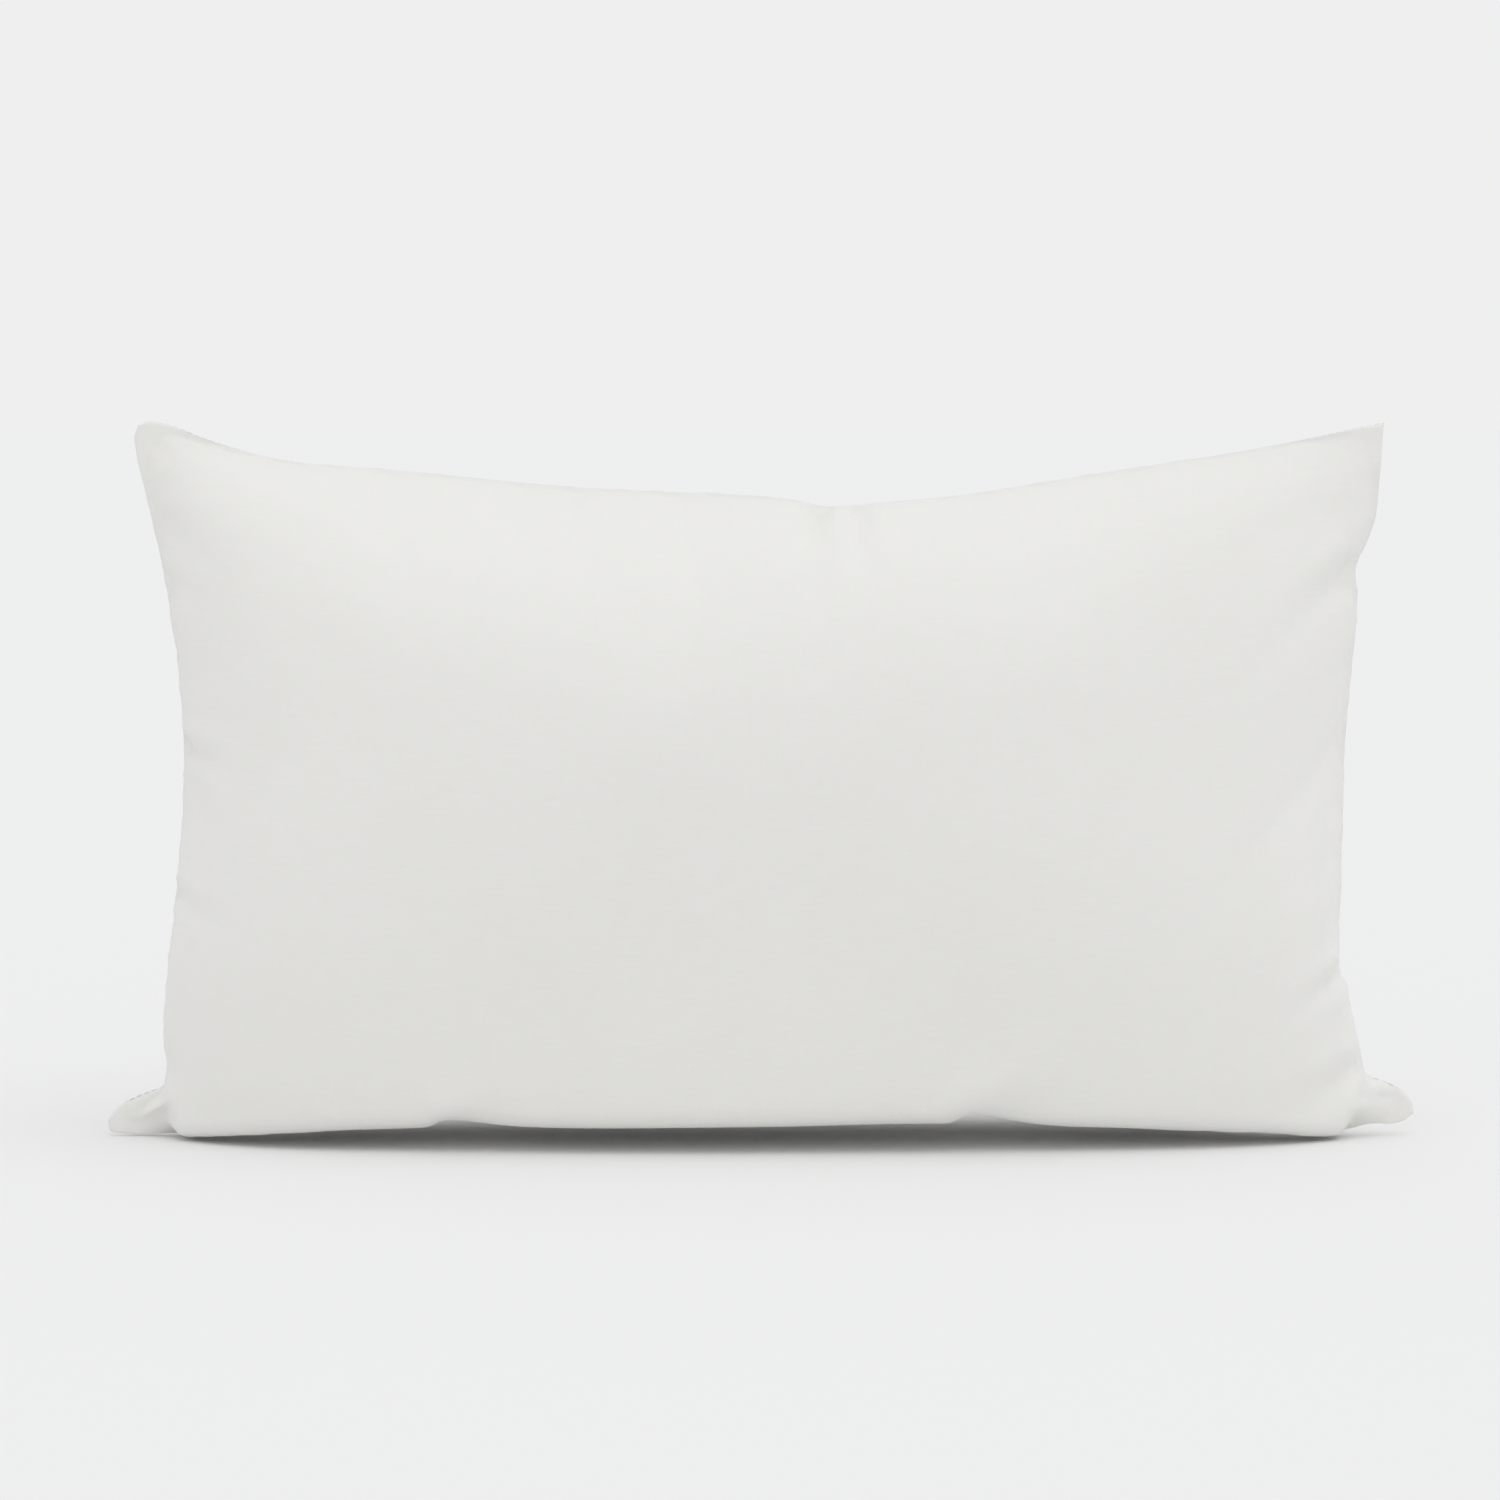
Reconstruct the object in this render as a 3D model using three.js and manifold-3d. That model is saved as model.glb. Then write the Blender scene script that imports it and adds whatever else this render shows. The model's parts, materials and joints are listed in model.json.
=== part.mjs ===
// A rectangular knife-edge pillow standing on its long edge: a zipped, removable cover
// round an inner pillow filled with fibre. Millimetres, +Z up, +X to the pillow's right
// as seen from the front, and the front faces -Y. The origin is the middle of the
// footprint, on the surface that the pillow stands on.
import * as THREE from "three";
import { mergeVertices } from "three/addons/utils/BufferGeometryUtils.js";
import Module from "manifold-3d";

const wasm = await Module();
wasm.setup();

// ---- Driving dimensions -------------------------------------------------------------

// Outline of the filled pillow, which is sewn from panels of 508 by 305 mm.
const TOP_SPAN = 477; // between the tips of the two upper ears
const WAIST_SPAN = 443; // across the narrowest part of the sides
const BASE_SPAN = 500; // between the tips of the two lower ears
const EAR_HEIGHT = 275; // upper ear tips above the floor
const MID_HEIGHT = 243; // upper seam above the floor, halfway along
const HALF_DEPTH = 66; // from the mid-plane to the crown of either face
const WAIST_AT = 0.45; // share of the height where the sides are narrowest
const CROWN_AT = 0.42; // share of the height where the pillow is deepest
const SQUARE_TO = 0.82; // share of the half width that is straight along the base

// How the weight flattens the lower edge.
const SINK = 24; // how far the free lower seam would hang below the floor
const BEND = 8; // height over which the flattened base turns up into the faces

// Each layer's distance in from the faces and its lift above the base.
const CLOTH = 0.9; // cover fabric
const TICKING = 0.6; // inner pillow's fabric
const COVER_OUTER = { inset: 0, lift: 0 };
const COVER_INNER = { inset: CLOTH, lift: CLOTH };
const INSERT_OUTER = { inset: 4.5, lift: 1.5 };
const INSERT_INNER = { inset: 4.5 + TICKING, lift: 1.5 + TICKING };
const FILL_OUTER = { inset: 6.2, lift: 3 };
const COVER_SEAM = { inset: 0.5, lift: 0.5 };
const INSERT_SEAM = { inset: 4.8, lift: 2 };
const CARE_LABEL = [{ inset: 2.2, lift: 1.2 }, { inset: 2.5, lift: 1.3 }];
const INSERT_LABEL = [{ inset: 3.4, lift: 1.2 }, { inset: 3.7, lift: 1.3 }];
const PANEL_THREAD = [{ inset: 1.4, lift: 0 }, { inset: 1.4 + 0.4, lift: 0 }];
const EDGE_INSET = 1.3; // a layer's outline moves in by this times its inset
const SEAM_GAP = 1; // between the two panels that a seam joins
const THREAD = 0.4; // thread diameter
const CLOSING_TO = 0.3; // the insert's lower seam is closed last, this far each way
const END_GAP = 0.005; // between the ends of a thread, as a share of the half width

// Zip in the lower part of the back face: nylon coil, 4.9 mm across the closed chain.
// Its own frame has x along the zip, y up the face and z out of it, from the tape.
const ZIP_AT = 0.215; // share of the height where it runs
const WINDOW = 173; // half length of the opening between the two back panels
const WINDOW_TAPER = 8; // length over which that opening closes at each end
const WINDOW_HALF = 5; // half height of the opening
const SEWN_HALF = 0.2; // half gap where the two back panels are sewn together
const FLAT_HALF = 14; // half height of the face that is flat along the zip
const TAPE_DEPTH = 1.8; // tape's outer side below the cover's face
const TAPE = { half: 176, edge: 0.65, width: 10.4, thickness: 0.5 };
const COIL = { half: 163, edge: 0.65, width: 1.8, lift: 0.3, height: 1.25 };
const STOP = { from: 163.4, length: 1.8, width: 2.1, lift: 0.3, height: 1.5 };
const STITCH = { half: 171, at: 7.6, lift: 2.3 };
const TRAVEL = 316; // slider, from closed to open
const SLIDER = { length: 9.4, width: 7.6, plate: 0.9, under: -0.8, over: 1.9, post: 0.7 };
const FLANGE = { width: 0.9, from: 0.4 };
const POST = { from: 1.6, to: 4.2 };
const BAIL = { length: 4.4, width: 1.4, opening: 2.8, height: 1.7, bar: 0.8 };
const PULL = { length: 22, eye: 4.2, end: 5.6, thickness: 0.9, bar: 0.9, window: 2.2, windowEnd: 3.2 };

const COLOURS = {
  cover: 0xe9e9e6,
  thread: 0xf2f2f0,
  tape: 0xeeeeeb,
  coil: 0xf4f4f2,
  metal: 0xd8d8d6,
  ticking: 0xf6f6f6,
  fibre: 0xfbfbfb,
  label: 0xfdfdfd,
};

// ---- Shape of the pillow --------------------------------------------------------------

// u runs from -1 to 1 across the pillow, and v from 0 at the lower seam to 1 at the upper.

const clamp01 = (t) => THREE.MathUtils.clamp(t, 0, 1);

function halfSpan(v) {
  const flare = v > WAIST_AT
    ? ((TOP_SPAN - WAIST_SPAN) / 2) * ((v - WAIST_AT) / (1 - WAIST_AT)) ** 1.8
    : ((BASE_SPAN - WAIST_SPAN) / 2) * ((WAIST_AT - v) / WAIST_AT) ** 3;
  return WAIST_SPAN / 2 + flare;
}

// Height before the base is flattened. The upper seam rises towards both ears, and the
// lower ears stay at the floor.
function freeHeight(u, v, inset) {
  const low = -SINK * (1 - Math.abs(u) ** 24) + EDGE_INSET * inset;
  const high = MID_HEIGHT - EDGE_INSET * inset;
  const earRise = (EAR_HEIGHT - MID_HEIGHT) * Math.abs(u) ** 1.5;
  return low + (high - low) * v + earRise * clamp01((v - 0.3) / 0.7) ** 2;
}

// Depth up the face: round below the crown, and running out to a wedge at the top.
function profile(v) {
  const below = 1 - v / CROWN_AT;
  const above = (v - CROWN_AT) / (1 - CROWN_AT);
  return v < CROWN_AT ? Math.sqrt(1 - below ** 2) : (1 - above ** 2) ** 0.8;
}

// Depth across the face: square-shouldered near the base and round higher up.
function plan(u, v) {
  const a = Math.abs(u);
  const square = Math.sqrt(1 - clamp01((a - SQUARE_TO) / (1 - SQUARE_TO)) ** 2);
  const round = Math.max(0, 1 - a ** 2.6) ** 0.7;
  return THREE.MathUtils.lerp(square, round, THREE.MathUtils.smoothstep(v, 0.3, 0.6));
}

// The floor flattens what would hang below it.
function settle(z, floor) {
  if (z >= floor + BEND) return z;
  return z <= floor - BEND ? floor : floor + (z - floor + BEND) ** 2 / (4 * BEND);
}

// A point on a layer of the pillow; side is -1 for the front face and 1 for the back.
function pillowPoint(u, v, side, { inset, lift }) {
  const x = u * (halfSpan(v) - EDGE_INSET * inset);
  const y = side * (SEAM_GAP / 2 + (HALF_DEPTH - inset) * profile(v) * plan(u, v));
  return new THREE.Vector3(x, y, settle(freeHeight(u, v, inset), lift));
}

// ---- Closed bodies from grids of points ---------------------------------------------------

// A closed body between two grids of points that have the same rows and columns.
function bodyBetween(outer, inner, side) {
  const rowCount = outer.length;
  const columnCount = outer[0].length;
  const position = [...outer.flat(), ...inner.flat()].flatMap((p) => [p.x, p.y, p.z]);
  const index = [];
  const at = (layer, j, i) => (layer * rowCount + j) * columnCount + i;
  const quad = (a, b, c, d) => index.push(...(side < 0 ? [a, b, c, a, c, d] : [a, c, b, a, d, c]));
  const top = rowCount - 1;
  const end = columnCount - 1;
  for (let j = 0; j < top; j++) {
    for (let i = 0; i < end; i++) {
      quad(at(0, j, i), at(0, j, i + 1), at(0, j + 1, i + 1), at(0, j + 1, i));
      quad(at(1, j, i), at(1, j + 1, i), at(1, j + 1, i + 1), at(1, j, i + 1));
    }
    quad(at(0, j, 0), at(0, j + 1, 0), at(1, j + 1, 0), at(1, j, 0));
    quad(at(1, j, end), at(1, j + 1, end), at(0, j + 1, end), at(0, j, end));
  }
  for (let i = 0; i < end; i++) {
    quad(at(1, 0, i), at(1, 0, i + 1), at(0, 0, i + 1), at(0, 0, i));
    quad(at(0, top, i), at(0, top, i + 1), at(1, top, i + 1), at(1, top, i));
  }
  const geometry = new THREE.BufferGeometry();
  geometry.setAttribute("position", new THREE.Float32BufferAttribute(position, 3));
  geometry.setIndex(index);
  geometry.computeVertexNormals();
  return geometry;
}

const evenSteps = (from, to, count) =>
  Array.from({ length: count + 1 }, (_, i) => from + ((to - from) * i) / count);

// Columns across the pillow: closer together towards the ears, with one at each end of
// the zip's opening and one where that opening has closed.
function pillowColumns() {
  const spread = evenSteps(0, Math.PI / 2, 8).map(Math.sin);
  const ends = [WINDOW / halfSpan(ZIP_AT), (WINDOW + WINDOW_TAPER) / halfSpan(ZIP_AT)];
  const clear = spread.filter((u) => ends.every((end) => Math.abs(u - end) > 0.03));
  const half = [...clear, ...ends].sort((a, b) => a - b);
  return [...half.slice(1).reverse().map((u) => -u), ...half];
}

const COLUMNS = pillowColumns();
const ROWS = evenSteps(0, Math.PI, 13).map((angle) => (1 - Math.cos(angle)) / 2);

// A piece of cloth between two layers of one face. rowsAt(u) gives the rows at a column.
function cloth(side, outerLayer, innerLayer, columns, rowsAt) {
  const rowSets = columns.map(rowsAt);
  const grid = (layer) =>
    rowSets[0].map((_, j) => columns.map((u, i) => pillowPoint(u, rowSets[i][j], side, layer)));
  return bodyBetween(grid(outerLayer), grid(innerLayer), side);
}

const facePanel = (side, outer, inner) => cloth(side, outer, inner, COLUMNS, () => ROWS);

function filling() {
  const grid = (side) => ROWS.map((v) => COLUMNS.map((u) => pillowPoint(u, v, side, FILL_OUTER)));
  return bodyBetween(grid(-1), grid(1), -1);
}

// ---- Back face, in two panels with the zip between them -------------------------------------

function zipFrame() {
  const step = 1e-3;
  const low = pillowPoint(0, ZIP_AT - step, 1, COVER_OUTER);
  const high = pillowPoint(0, ZIP_AT + step, 1, COVER_OUTER);
  const along = new THREE.Vector3(-1, 0, 0);
  const up = high.clone().sub(low).normalize();
  const out = new THREE.Vector3().crossVectors(along, up);
  const origin = low.clone().lerp(high, 0.5).addScaledVector(out, -TAPE_DEPTH);
  return { along, up, out, origin, scale: low.distanceTo(high) / (2 * step) };
}

const ZIP = zipFrame();
const FLAT = FLAT_HALF / ZIP.scale;

// Half height of the gap between the two back panels, as a share of the height.
function openingAt(u) {
  const closed = clamp01((Math.abs(u) * halfSpan(ZIP_AT) - WINDOW) / WINDOW_TAPER);
  return THREE.MathUtils.lerp(WINDOW_HALF, SEWN_HALF, closed) / ZIP.scale;
}

function backPanel(upper) {
  const sign = upper ? 1 : -1;
  const far = ROWS.filter((v) => sign * (v - ZIP_AT) > FLAT + 0.03);
  const near = (u) => [ZIP_AT + sign * FLAT, ZIP_AT + sign * openingAt(u)];
  const rowsAt = (u) => (upper ? [...near(u).reverse(), ...far] : [...far, ...near(u)]);
  return cloth(1, COVER_OUTER, COVER_INNER, COLUMNS, rowsAt);
}

// ---- Threads and labels ---------------------------------------------------------------

const THREAD_SIDES = 6;
const threadCorners = Array.from({ length: THREAD_SIDES }, (_, i) => {
  const angle = (2 * Math.PI * i) / THREAD_SIDES;
  return new THREE.Vector2(Math.cos(angle), Math.sin(angle)).multiplyScalar(THREAD / 2);
});

// Thread along points in the mid-plane, with mitred corners.
function seamThread(points) {
  const edges = points.slice(1).map((p, i) => p.clone().sub(points[i]).normalize());
  const ring = (point, i) => {
    const before = edges[Math.max(0, i - 1)];
    const after = edges[Math.min(edges.length - 1, i)];
    const along = before.clone().add(after).normalize();
    const across = new THREE.Vector3(-along.z, 0, along.x);
    const mitre = 1 / Math.max(0.5, along.dot(after));
    return threadCorners.map((corner) =>
      point.clone().addScaledVector(across, corner.x * mitre).add(new THREE.Vector3(0, corner.y, 0)));
  };
  const rings = points.map(ring);
  const position = rings.flat().flatMap((p) => [p.x, p.y, p.z]);
  const n = THREAD_SIDES;
  const index = [];
  for (let j = 0; j < rings.length - 1; j++) {
    for (let i = 0; i < n; i++) {
      const [a, b] = [j * n + i, j * n + ((i + 1) % n)];
      index.push(a, a + n, b, b, a + n, b + n);
    }
  }
  const last = (rings.length - 1) * n;
  for (let i = 1; i < n - 1; i++) index.push(0, i, i + 1, last, last + i + 1, last + i);
  const geometry = new THREE.BufferGeometry();
  geometry.setAttribute("position", new THREE.Float32BufferAttribute(position, 3));
  geometry.setIndex(index);
  geometry.computeVertexNormals();
  return geometry;
}

const onSeam = (u, v, layer) => pillowPoint(u, v, 1, layer).setY(0);

const between = (from, to) => [from, ...COLUMNS.filter((u) => u > from && u < to), to];

// The whole seam but a stretch of the lower edge, from one end of that stretch to the other.
function seamRound(layer, openTo) {
  return [
    ...between(openTo, 1).map((u) => onSeam(u, 0, layer)),
    ...ROWS.slice(1, -1).map((v) => onSeam(1, v, layer)),
    ...between(-1, 1).reverse().map((u) => onSeam(u, 1, layer)),
    ...ROWS.slice(1, -1).reverse().map((v) => onSeam(-1, v, layer)),
    ...between(-1, -openTo).map((u) => onSeam(u, 0, layer)),
  ];
}

const seamBelow = (layer, openTo) =>
  between(-openTo, openTo).map((u) => onSeam(u, 0, layer));

// Thread that joins the two back panels, from one end of the zip to the side seam.
function panelThread(side) {
  const start = (WINDOW + 1) / halfSpan(ZIP_AT);
  const columns = COLUMNS.filter((u) => side * u > start && side * u < 0.99);
  const half = THREAD / 2 / ZIP.scale;
  return cloth(1, ...PANEL_THREAD, columns, () => [ZIP_AT - half, ZIP_AT + half]);
}

// A label sewn into a side seam, lying along the panel whose columns and rows it shares.
function label(side, [outer, inner], [fromColumn, toColumn], [fromRow, toRow]) {
  const columns = COLUMNS.filter((u) => u > fromColumn && u < toColumn);
  const rows = ROWS.filter((v) => v > fromRow && v < toRow);
  return cloth(side, outer, inner, columns, () => rows);
}

// ---- Zip, in its own frame --------------------------------------------------------------

const box = (x0, x1, y0, y1, z0, z1) =>
  new THREE.BoxGeometry(x1 - x0, y1 - y0, z1 - z0)
    .translate((x0 + x1) / 2, (y0 + y1) / 2, (z0 + z1) / 2);

// One closed geometry from several that overlap.
function joined(...geometries) {
  const solids = geometries.map((geometry) => {
    geometry.deleteAttribute("normal");
    geometry.deleteAttribute("uv");
    const merged = mergeVertices(geometry);
    return new wasm.Manifold(new wasm.Mesh({
      numProp: 3,
      vertProperties: merged.attributes.position.array,
      triVerts: new Uint32Array(merged.index.array),
    }));
  });
  const mesh = solids.reduce((all, next) => all.add(next)).getMesh();
  const geometry = new THREE.BufferGeometry();
  geometry.setAttribute("position", new THREE.BufferAttribute(mesh.vertProperties, 3));
  geometry.setIndex(new THREE.BufferAttribute(mesh.triVerts, 1));
  geometry.computeVertexNormals();
  return geometry;
}

// A strip beside the centre line, on the upper side (sign 1) or the lower side (sign -1).
function strip(sign, x0, x1, near, far, z0, z1) {
  return box(x0, x1, Math.min(sign * near, sign * far), Math.max(sign * near, sign * far), z0, z1);
}

const tape = (sign) =>
  strip(sign, -TAPE.half, TAPE.half, TAPE.edge, TAPE.edge + TAPE.width, -TAPE.thickness, 0);

const coil = (sign) =>
  strip(sign, -COIL.half, COIL.half, COIL.edge, COIL.edge + COIL.width, COIL.lift, COIL.lift + COIL.height);

const stitching = (sign) =>
  strip(sign, -STITCH.half, STITCH.half, STITCH.at, STITCH.at + THREAD, STITCH.lift, STITCH.lift + THREAD);

// At the closed end each tape has a stop of its own, and at the open end one stop holds both.
const topStop = (sign) =>
  strip(sign, -STOP.from - STOP.length, -STOP.from, COIL.edge, COIL.edge + STOP.width,
    STOP.lift, STOP.lift + STOP.height);

const bottomStop = () =>
  box(STOP.from, STOP.from + STOP.length, -COIL.edge - STOP.width, COIL.edge + STOP.width,
    STOP.lift, STOP.lift + STOP.height);

const SLIDER_TOP = SLIDER.over + SLIDER.plate;
const HINGE_HEIGHT = SLIDER_TOP + BAIL.height / 2;

// The slider about its own middle: two plates, the post that joins them at the leading end,
// flanges beside the chain, and the bail that holds the pull.
function slider() {
  const [half, wide] = [SLIDER.length / 2, SLIDER.width / 2];
  const plate = (z) => box(-half, half, -wide, wide, z, z + SLIDER.plate);
  const flange = (sign) =>
    strip(sign, -half, half, wide - FLANGE.width, wide, FLANGE.from, SLIDER.over + SLIDER.plate / 2);
  const post = box(-POST.to, -POST.from, -SLIDER.post / 2, SLIDER.post / 2,
    SLIDER.under - SLIDER.plate / 2, SLIDER.over + SLIDER.plate / 2);
  const leg = (sign) => {
    const [inner, outer] = [(sign * BAIL.opening) / 2, (sign * BAIL.length) / 2];
    return box(Math.min(inner, outer), Math.max(inner, outer), -BAIL.width / 2, BAIL.width / 2,
      SLIDER_TOP - SLIDER.plate / 2, SLIDER_TOP + BAIL.height + BAIL.bar);
  };
  const bar = box(-BAIL.length / 2, BAIL.length / 2, -BAIL.width / 2, BAIL.width / 2,
    SLIDER_TOP + BAIL.height, SLIDER_TOP + BAIL.height + BAIL.bar);
  return joined(plate(SLIDER.under - SLIDER.plate), plate(SLIDER.over), flange(1), flange(-1),
    post, leg(1), leg(-1), bar);
}

// The pull about its hinge: a tapered tab with a round end, and a window at the eye whose
// outer bar turns under the bail.
function pull() {
  const [eye, end, back] = [PULL.eye / 2, PULL.end / 2, PULL.bar / 2];
  const outline = new THREE.Shape();
  outline.moveTo(-back, -eye);
  outline.lineTo(PULL.length - end, -end);
  outline.absarc(PULL.length - end, 0, end, -Math.PI / 2, Math.PI / 2);
  outline.lineTo(-back, eye);
  const window = new THREE.Path();
  const half = PULL.window / 2;
  window.moveTo(back, -half);
  window.lineTo(back, half);
  window.lineTo(PULL.windowEnd, half);
  window.lineTo(PULL.windowEnd, -half);
  outline.holes.push(window);
  return new THREE.ExtrudeGeometry(outline, {
    depth: PULL.thickness, bevelEnabled: false, curveSegments: 10,
  }).translate(0, 0, -PULL.thickness / 2);
}

// ---- Assembly -------------------------------------------------------------------------

const model = new THREE.Group();

function add(parent, name, geometry, color, roughness = 0.9, metalness = 0) {
  const material = new THREE.MeshStandardMaterial({ color, roughness, metalness });
  const mesh = new THREE.Mesh(geometry, material);
  mesh.name = name;
  parent.add(mesh);
  return mesh;
}

const FRONT = -1;
const BACK = 1;

add(model, "cover_front", facePanel(FRONT, COVER_OUTER, COVER_INNER), COLOURS.cover);
add(model, "cover_back_upper", backPanel(true), COLOURS.cover);
add(model, "cover_back_lower", backPanel(false), COLOURS.cover);
add(model, "cover_seam_thread", seamThread(seamRound(COVER_SEAM, END_GAP)), COLOURS.thread);
add(model, "back_seam_thread_left", panelThread(-1), COLOURS.thread);
add(model, "back_seam_thread_right", panelThread(1), COLOURS.thread);
add(model, "care_label", label(FRONT, CARE_LABEL, [-0.99, -0.75], [0.3, 0.5]), COLOURS.label);

add(model, "insert_front", facePanel(FRONT, INSERT_OUTER, INSERT_INNER), COLOURS.ticking);
add(model, "insert_back", facePanel(BACK, INSERT_OUTER, INSERT_INNER), COLOURS.ticking);
const insertSeam = seamRound(INSERT_SEAM, CLOSING_TO + END_GAP);
const closingSeam = seamBelow(INSERT_SEAM, CLOSING_TO);
add(model, "insert_seam_thread", seamThread(insertSeam), COLOURS.thread);
add(model, "insert_closing_thread", seamThread(closingSeam), COLOURS.thread);
add(model, "insert_label", label(BACK, INSERT_LABEL, [0.75, 0.99], [0.4, 0.6]), COLOURS.label);
add(model, "fibre_fill", filling(), COLOURS.fibre, 1);

const zip = new THREE.Group();
new THREE.Matrix4()
  .makeBasis(ZIP.along, ZIP.up, ZIP.out)
  .setPosition(ZIP.origin)
  .decompose(zip.position, zip.quaternion, zip.scale);
model.add(zip);

for (const [name, sign] of [["upper", 1], ["lower", -1]]) {
  add(zip, `zip_tape_${name}`, tape(sign), COLOURS.tape);
  add(zip, `zip_coil_${name}`, coil(sign), COLOURS.coil, 0.4);
  add(zip, `zip_top_stop_${name}`, topStop(sign), COLOURS.metal, 0.3, 1);
  add(zip, `zip_stitching_${name}`, stitching(sign), COLOURS.thread);
}
add(zip, "zip_bottom_stop", bottomStop(), COLOURS.metal, 0.3, 1);

// Closed: the slider is at one end of its travel, with the pull lying back along the chain.
const sliderGroup = new THREE.Group();
sliderGroup.position.x = -TRAVEL / 2;
zip.add(sliderGroup);
add(sliderGroup, "zip_slider", slider(), COLOURS.metal, 0.3, 1);
add(sliderGroup, "zip_pull", pull(), COLOURS.metal, 0.3, 1).position.z = HINGE_HEIGHT;

export default model;
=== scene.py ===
import json
import math

import bmesh
import bpy
import numpy as np
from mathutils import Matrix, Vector


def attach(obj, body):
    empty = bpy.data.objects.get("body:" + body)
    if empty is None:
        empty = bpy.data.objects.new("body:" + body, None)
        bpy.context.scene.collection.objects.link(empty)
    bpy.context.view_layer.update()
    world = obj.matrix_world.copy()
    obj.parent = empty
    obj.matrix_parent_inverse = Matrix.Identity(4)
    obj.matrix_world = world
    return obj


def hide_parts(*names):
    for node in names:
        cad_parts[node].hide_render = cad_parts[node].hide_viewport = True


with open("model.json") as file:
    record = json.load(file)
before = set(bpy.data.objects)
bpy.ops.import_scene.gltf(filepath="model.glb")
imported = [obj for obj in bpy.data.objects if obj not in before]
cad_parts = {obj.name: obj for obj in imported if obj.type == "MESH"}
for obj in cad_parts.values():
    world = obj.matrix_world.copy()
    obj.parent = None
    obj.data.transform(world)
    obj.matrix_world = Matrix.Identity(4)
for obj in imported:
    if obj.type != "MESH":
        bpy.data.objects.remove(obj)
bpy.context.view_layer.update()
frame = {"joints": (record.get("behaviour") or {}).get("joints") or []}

MM = 0.001

# ---- The zip's own frame, from the joints ----

JOINTS = {joint["name"]: joint for joint in frame["joints"]}


def unit(vectors):
    """Vectors of length one, along the last axis."""
    vectors = np.asarray(vectors, float)
    return vectors / np.maximum(np.linalg.norm(vectors, axis=-1, keepdims=True), 1e-12)


ALONG = unit(JOINTS["zip_slide"]["axis"])
UP = -unit(JOINTS["pull_swing"]["axis"])
OUT = np.cross(ALONG, UP)
HINGE = np.array(JOINTS["pull_swing"]["pos_m"])
HINGE_HEIGHT = 3.65 * MM  # above the tape
FACE_HEIGHT = 1.8 * MM  # the cover's face above the tape
SLIDER_X = float(HINGE @ ALONG)
TAPE_ORIGIN = HINGE - OUT * HINGE_HEIGHT - ALONG * SLIDER_X


def zip_point(x, y, z):
    """From the zip's frame, in metres: x along it, y up the face and z out of the tape."""
    x, y, z = np.broadcast_arrays(x, y, z)
    return TAPE_ORIGIN + x[..., None] * ALONG + y[..., None] * UP + z[..., None] * OUT


# ---- Sizes ----

FLAT_WIDTH, FLAT_HEIGHT = 508 * MM, 305 * MM
LABEL_WIDTH, LABEL_HEIGHT = 36 * MM, 32 * MM
CLOTH = 0.8 * MM
SEAM_ALLOWANCE = 3 * MM
ZIP_ROW_SHARE = 0.25  # of the back panel's flat height, below the zip
WINDOW = 169 * MM  # half the length of the opening over the zip
WINDOW_TAPER = 5 * MM  # over which the opening closes, beyond each end
WINDOW_HALF = 5 * MM  # half the opening's height
SEWN_HALF = 0.08 * MM  # half the gap between the two back panels where they are sewn
EDGE_TURN = 0.8 * MM  # radius of their turned edge
COIL_HALF = 163 * MM  # half the coils' length
TAPE_HALF, TAPE_WIDTH = 176 * MM, 10.4 * MM  # half the tapes' length, and each one's width
THREAD_RADIUS = 0.2 * MM

# The seam as it lies round the filled pillow, as (x, z) in millimetres.
TOP_SEAM = [
    (-238.8, 274.2), (-235, 276), (-230, 275.2), (-212, 268.7), (-191, 262.4), (-139, 257), (-62, 250),
    (0, 247), (13, 245.6), (23, 243), (33, 243.4), (73, 247), (130, 256), (188, 265), (239, 275.3),
]
RIGHT_SEAM = [
    (239, 275.3), (237.5, 255), (235.8, 238), (231.5, 227), (228, 220.6), (229.3, 211), (228.5, 196),
    (225, 153), (224, 111), (223, 75), (223, 66), (227.5, 51), (231.5, 32), (233.8, 23.4), (238.5, 21.8),
    (245.8, 18.8), (251.8, 13.6), (252.8, 8.4),
]
LEFT_SEAM = [
    (-238.8, 274.2), (-240.3, 270.5), (-239.8, 264), (-235.5, 245.6), (-227.5, 207), (-222, 151),
    (-225.3, 95.5), (-230, 52), (-230.8, 36), (-229.6, 19.5), (-237.5, 16.5), (-248, 11.5), (-253, 6),
]
BOTTOM_SEAM = [
    (-253, 6), (-252.6, 2), (-247, 0.6), (-226, 1), (-200, 3.6), (-173, 6.2), (-142, 8.2), (-116, 9.2),
    (-54, 9.3), (0, 9.8), (69, 10.8), (96, 9.9), (154, 7.2), (192, 4.5), (224, 2), (236, 4.4),
    (248, 5), (252.8, 8.4),
]

ACROSS, HIGH = 100, 60  # the simulated cells of each face
ZIP_ROW = round(HIGH * ZIP_ROW_SHARE)
ZIP_ROWS_MM = [0, 5, 9.6, 14.4]  # from the zip's middle
ARCH, ARCH_REACH = 6 * MM, 200 * MM  # the base stands clear of the floor in the middle


def added(name, data):
    """A new object of the scene."""
    thing = bpy.data.objects.new(name, data)
    bpy.context.scene.collection.objects.link(thing)
    return thing


def added_mesh(name, points, faces):
    mesh = bpy.data.meshes.new(name)
    mesh.from_pydata(np.asarray(points).tolist(), [], faces)
    return added(name, mesh)


# ---- Curves and grids ----


def lengths(line):
    """How far along a line of points each of them lies."""
    return np.r_[0, np.cumsum(np.linalg.norm(np.diff(line, axis=0), axis=1))]


def on_line(line, at):
    """Points at given lengths along a line of points."""
    run = lengths(line)
    return np.stack([np.interp(at, run, line[:, k]) for k in range(3)], -1)


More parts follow.
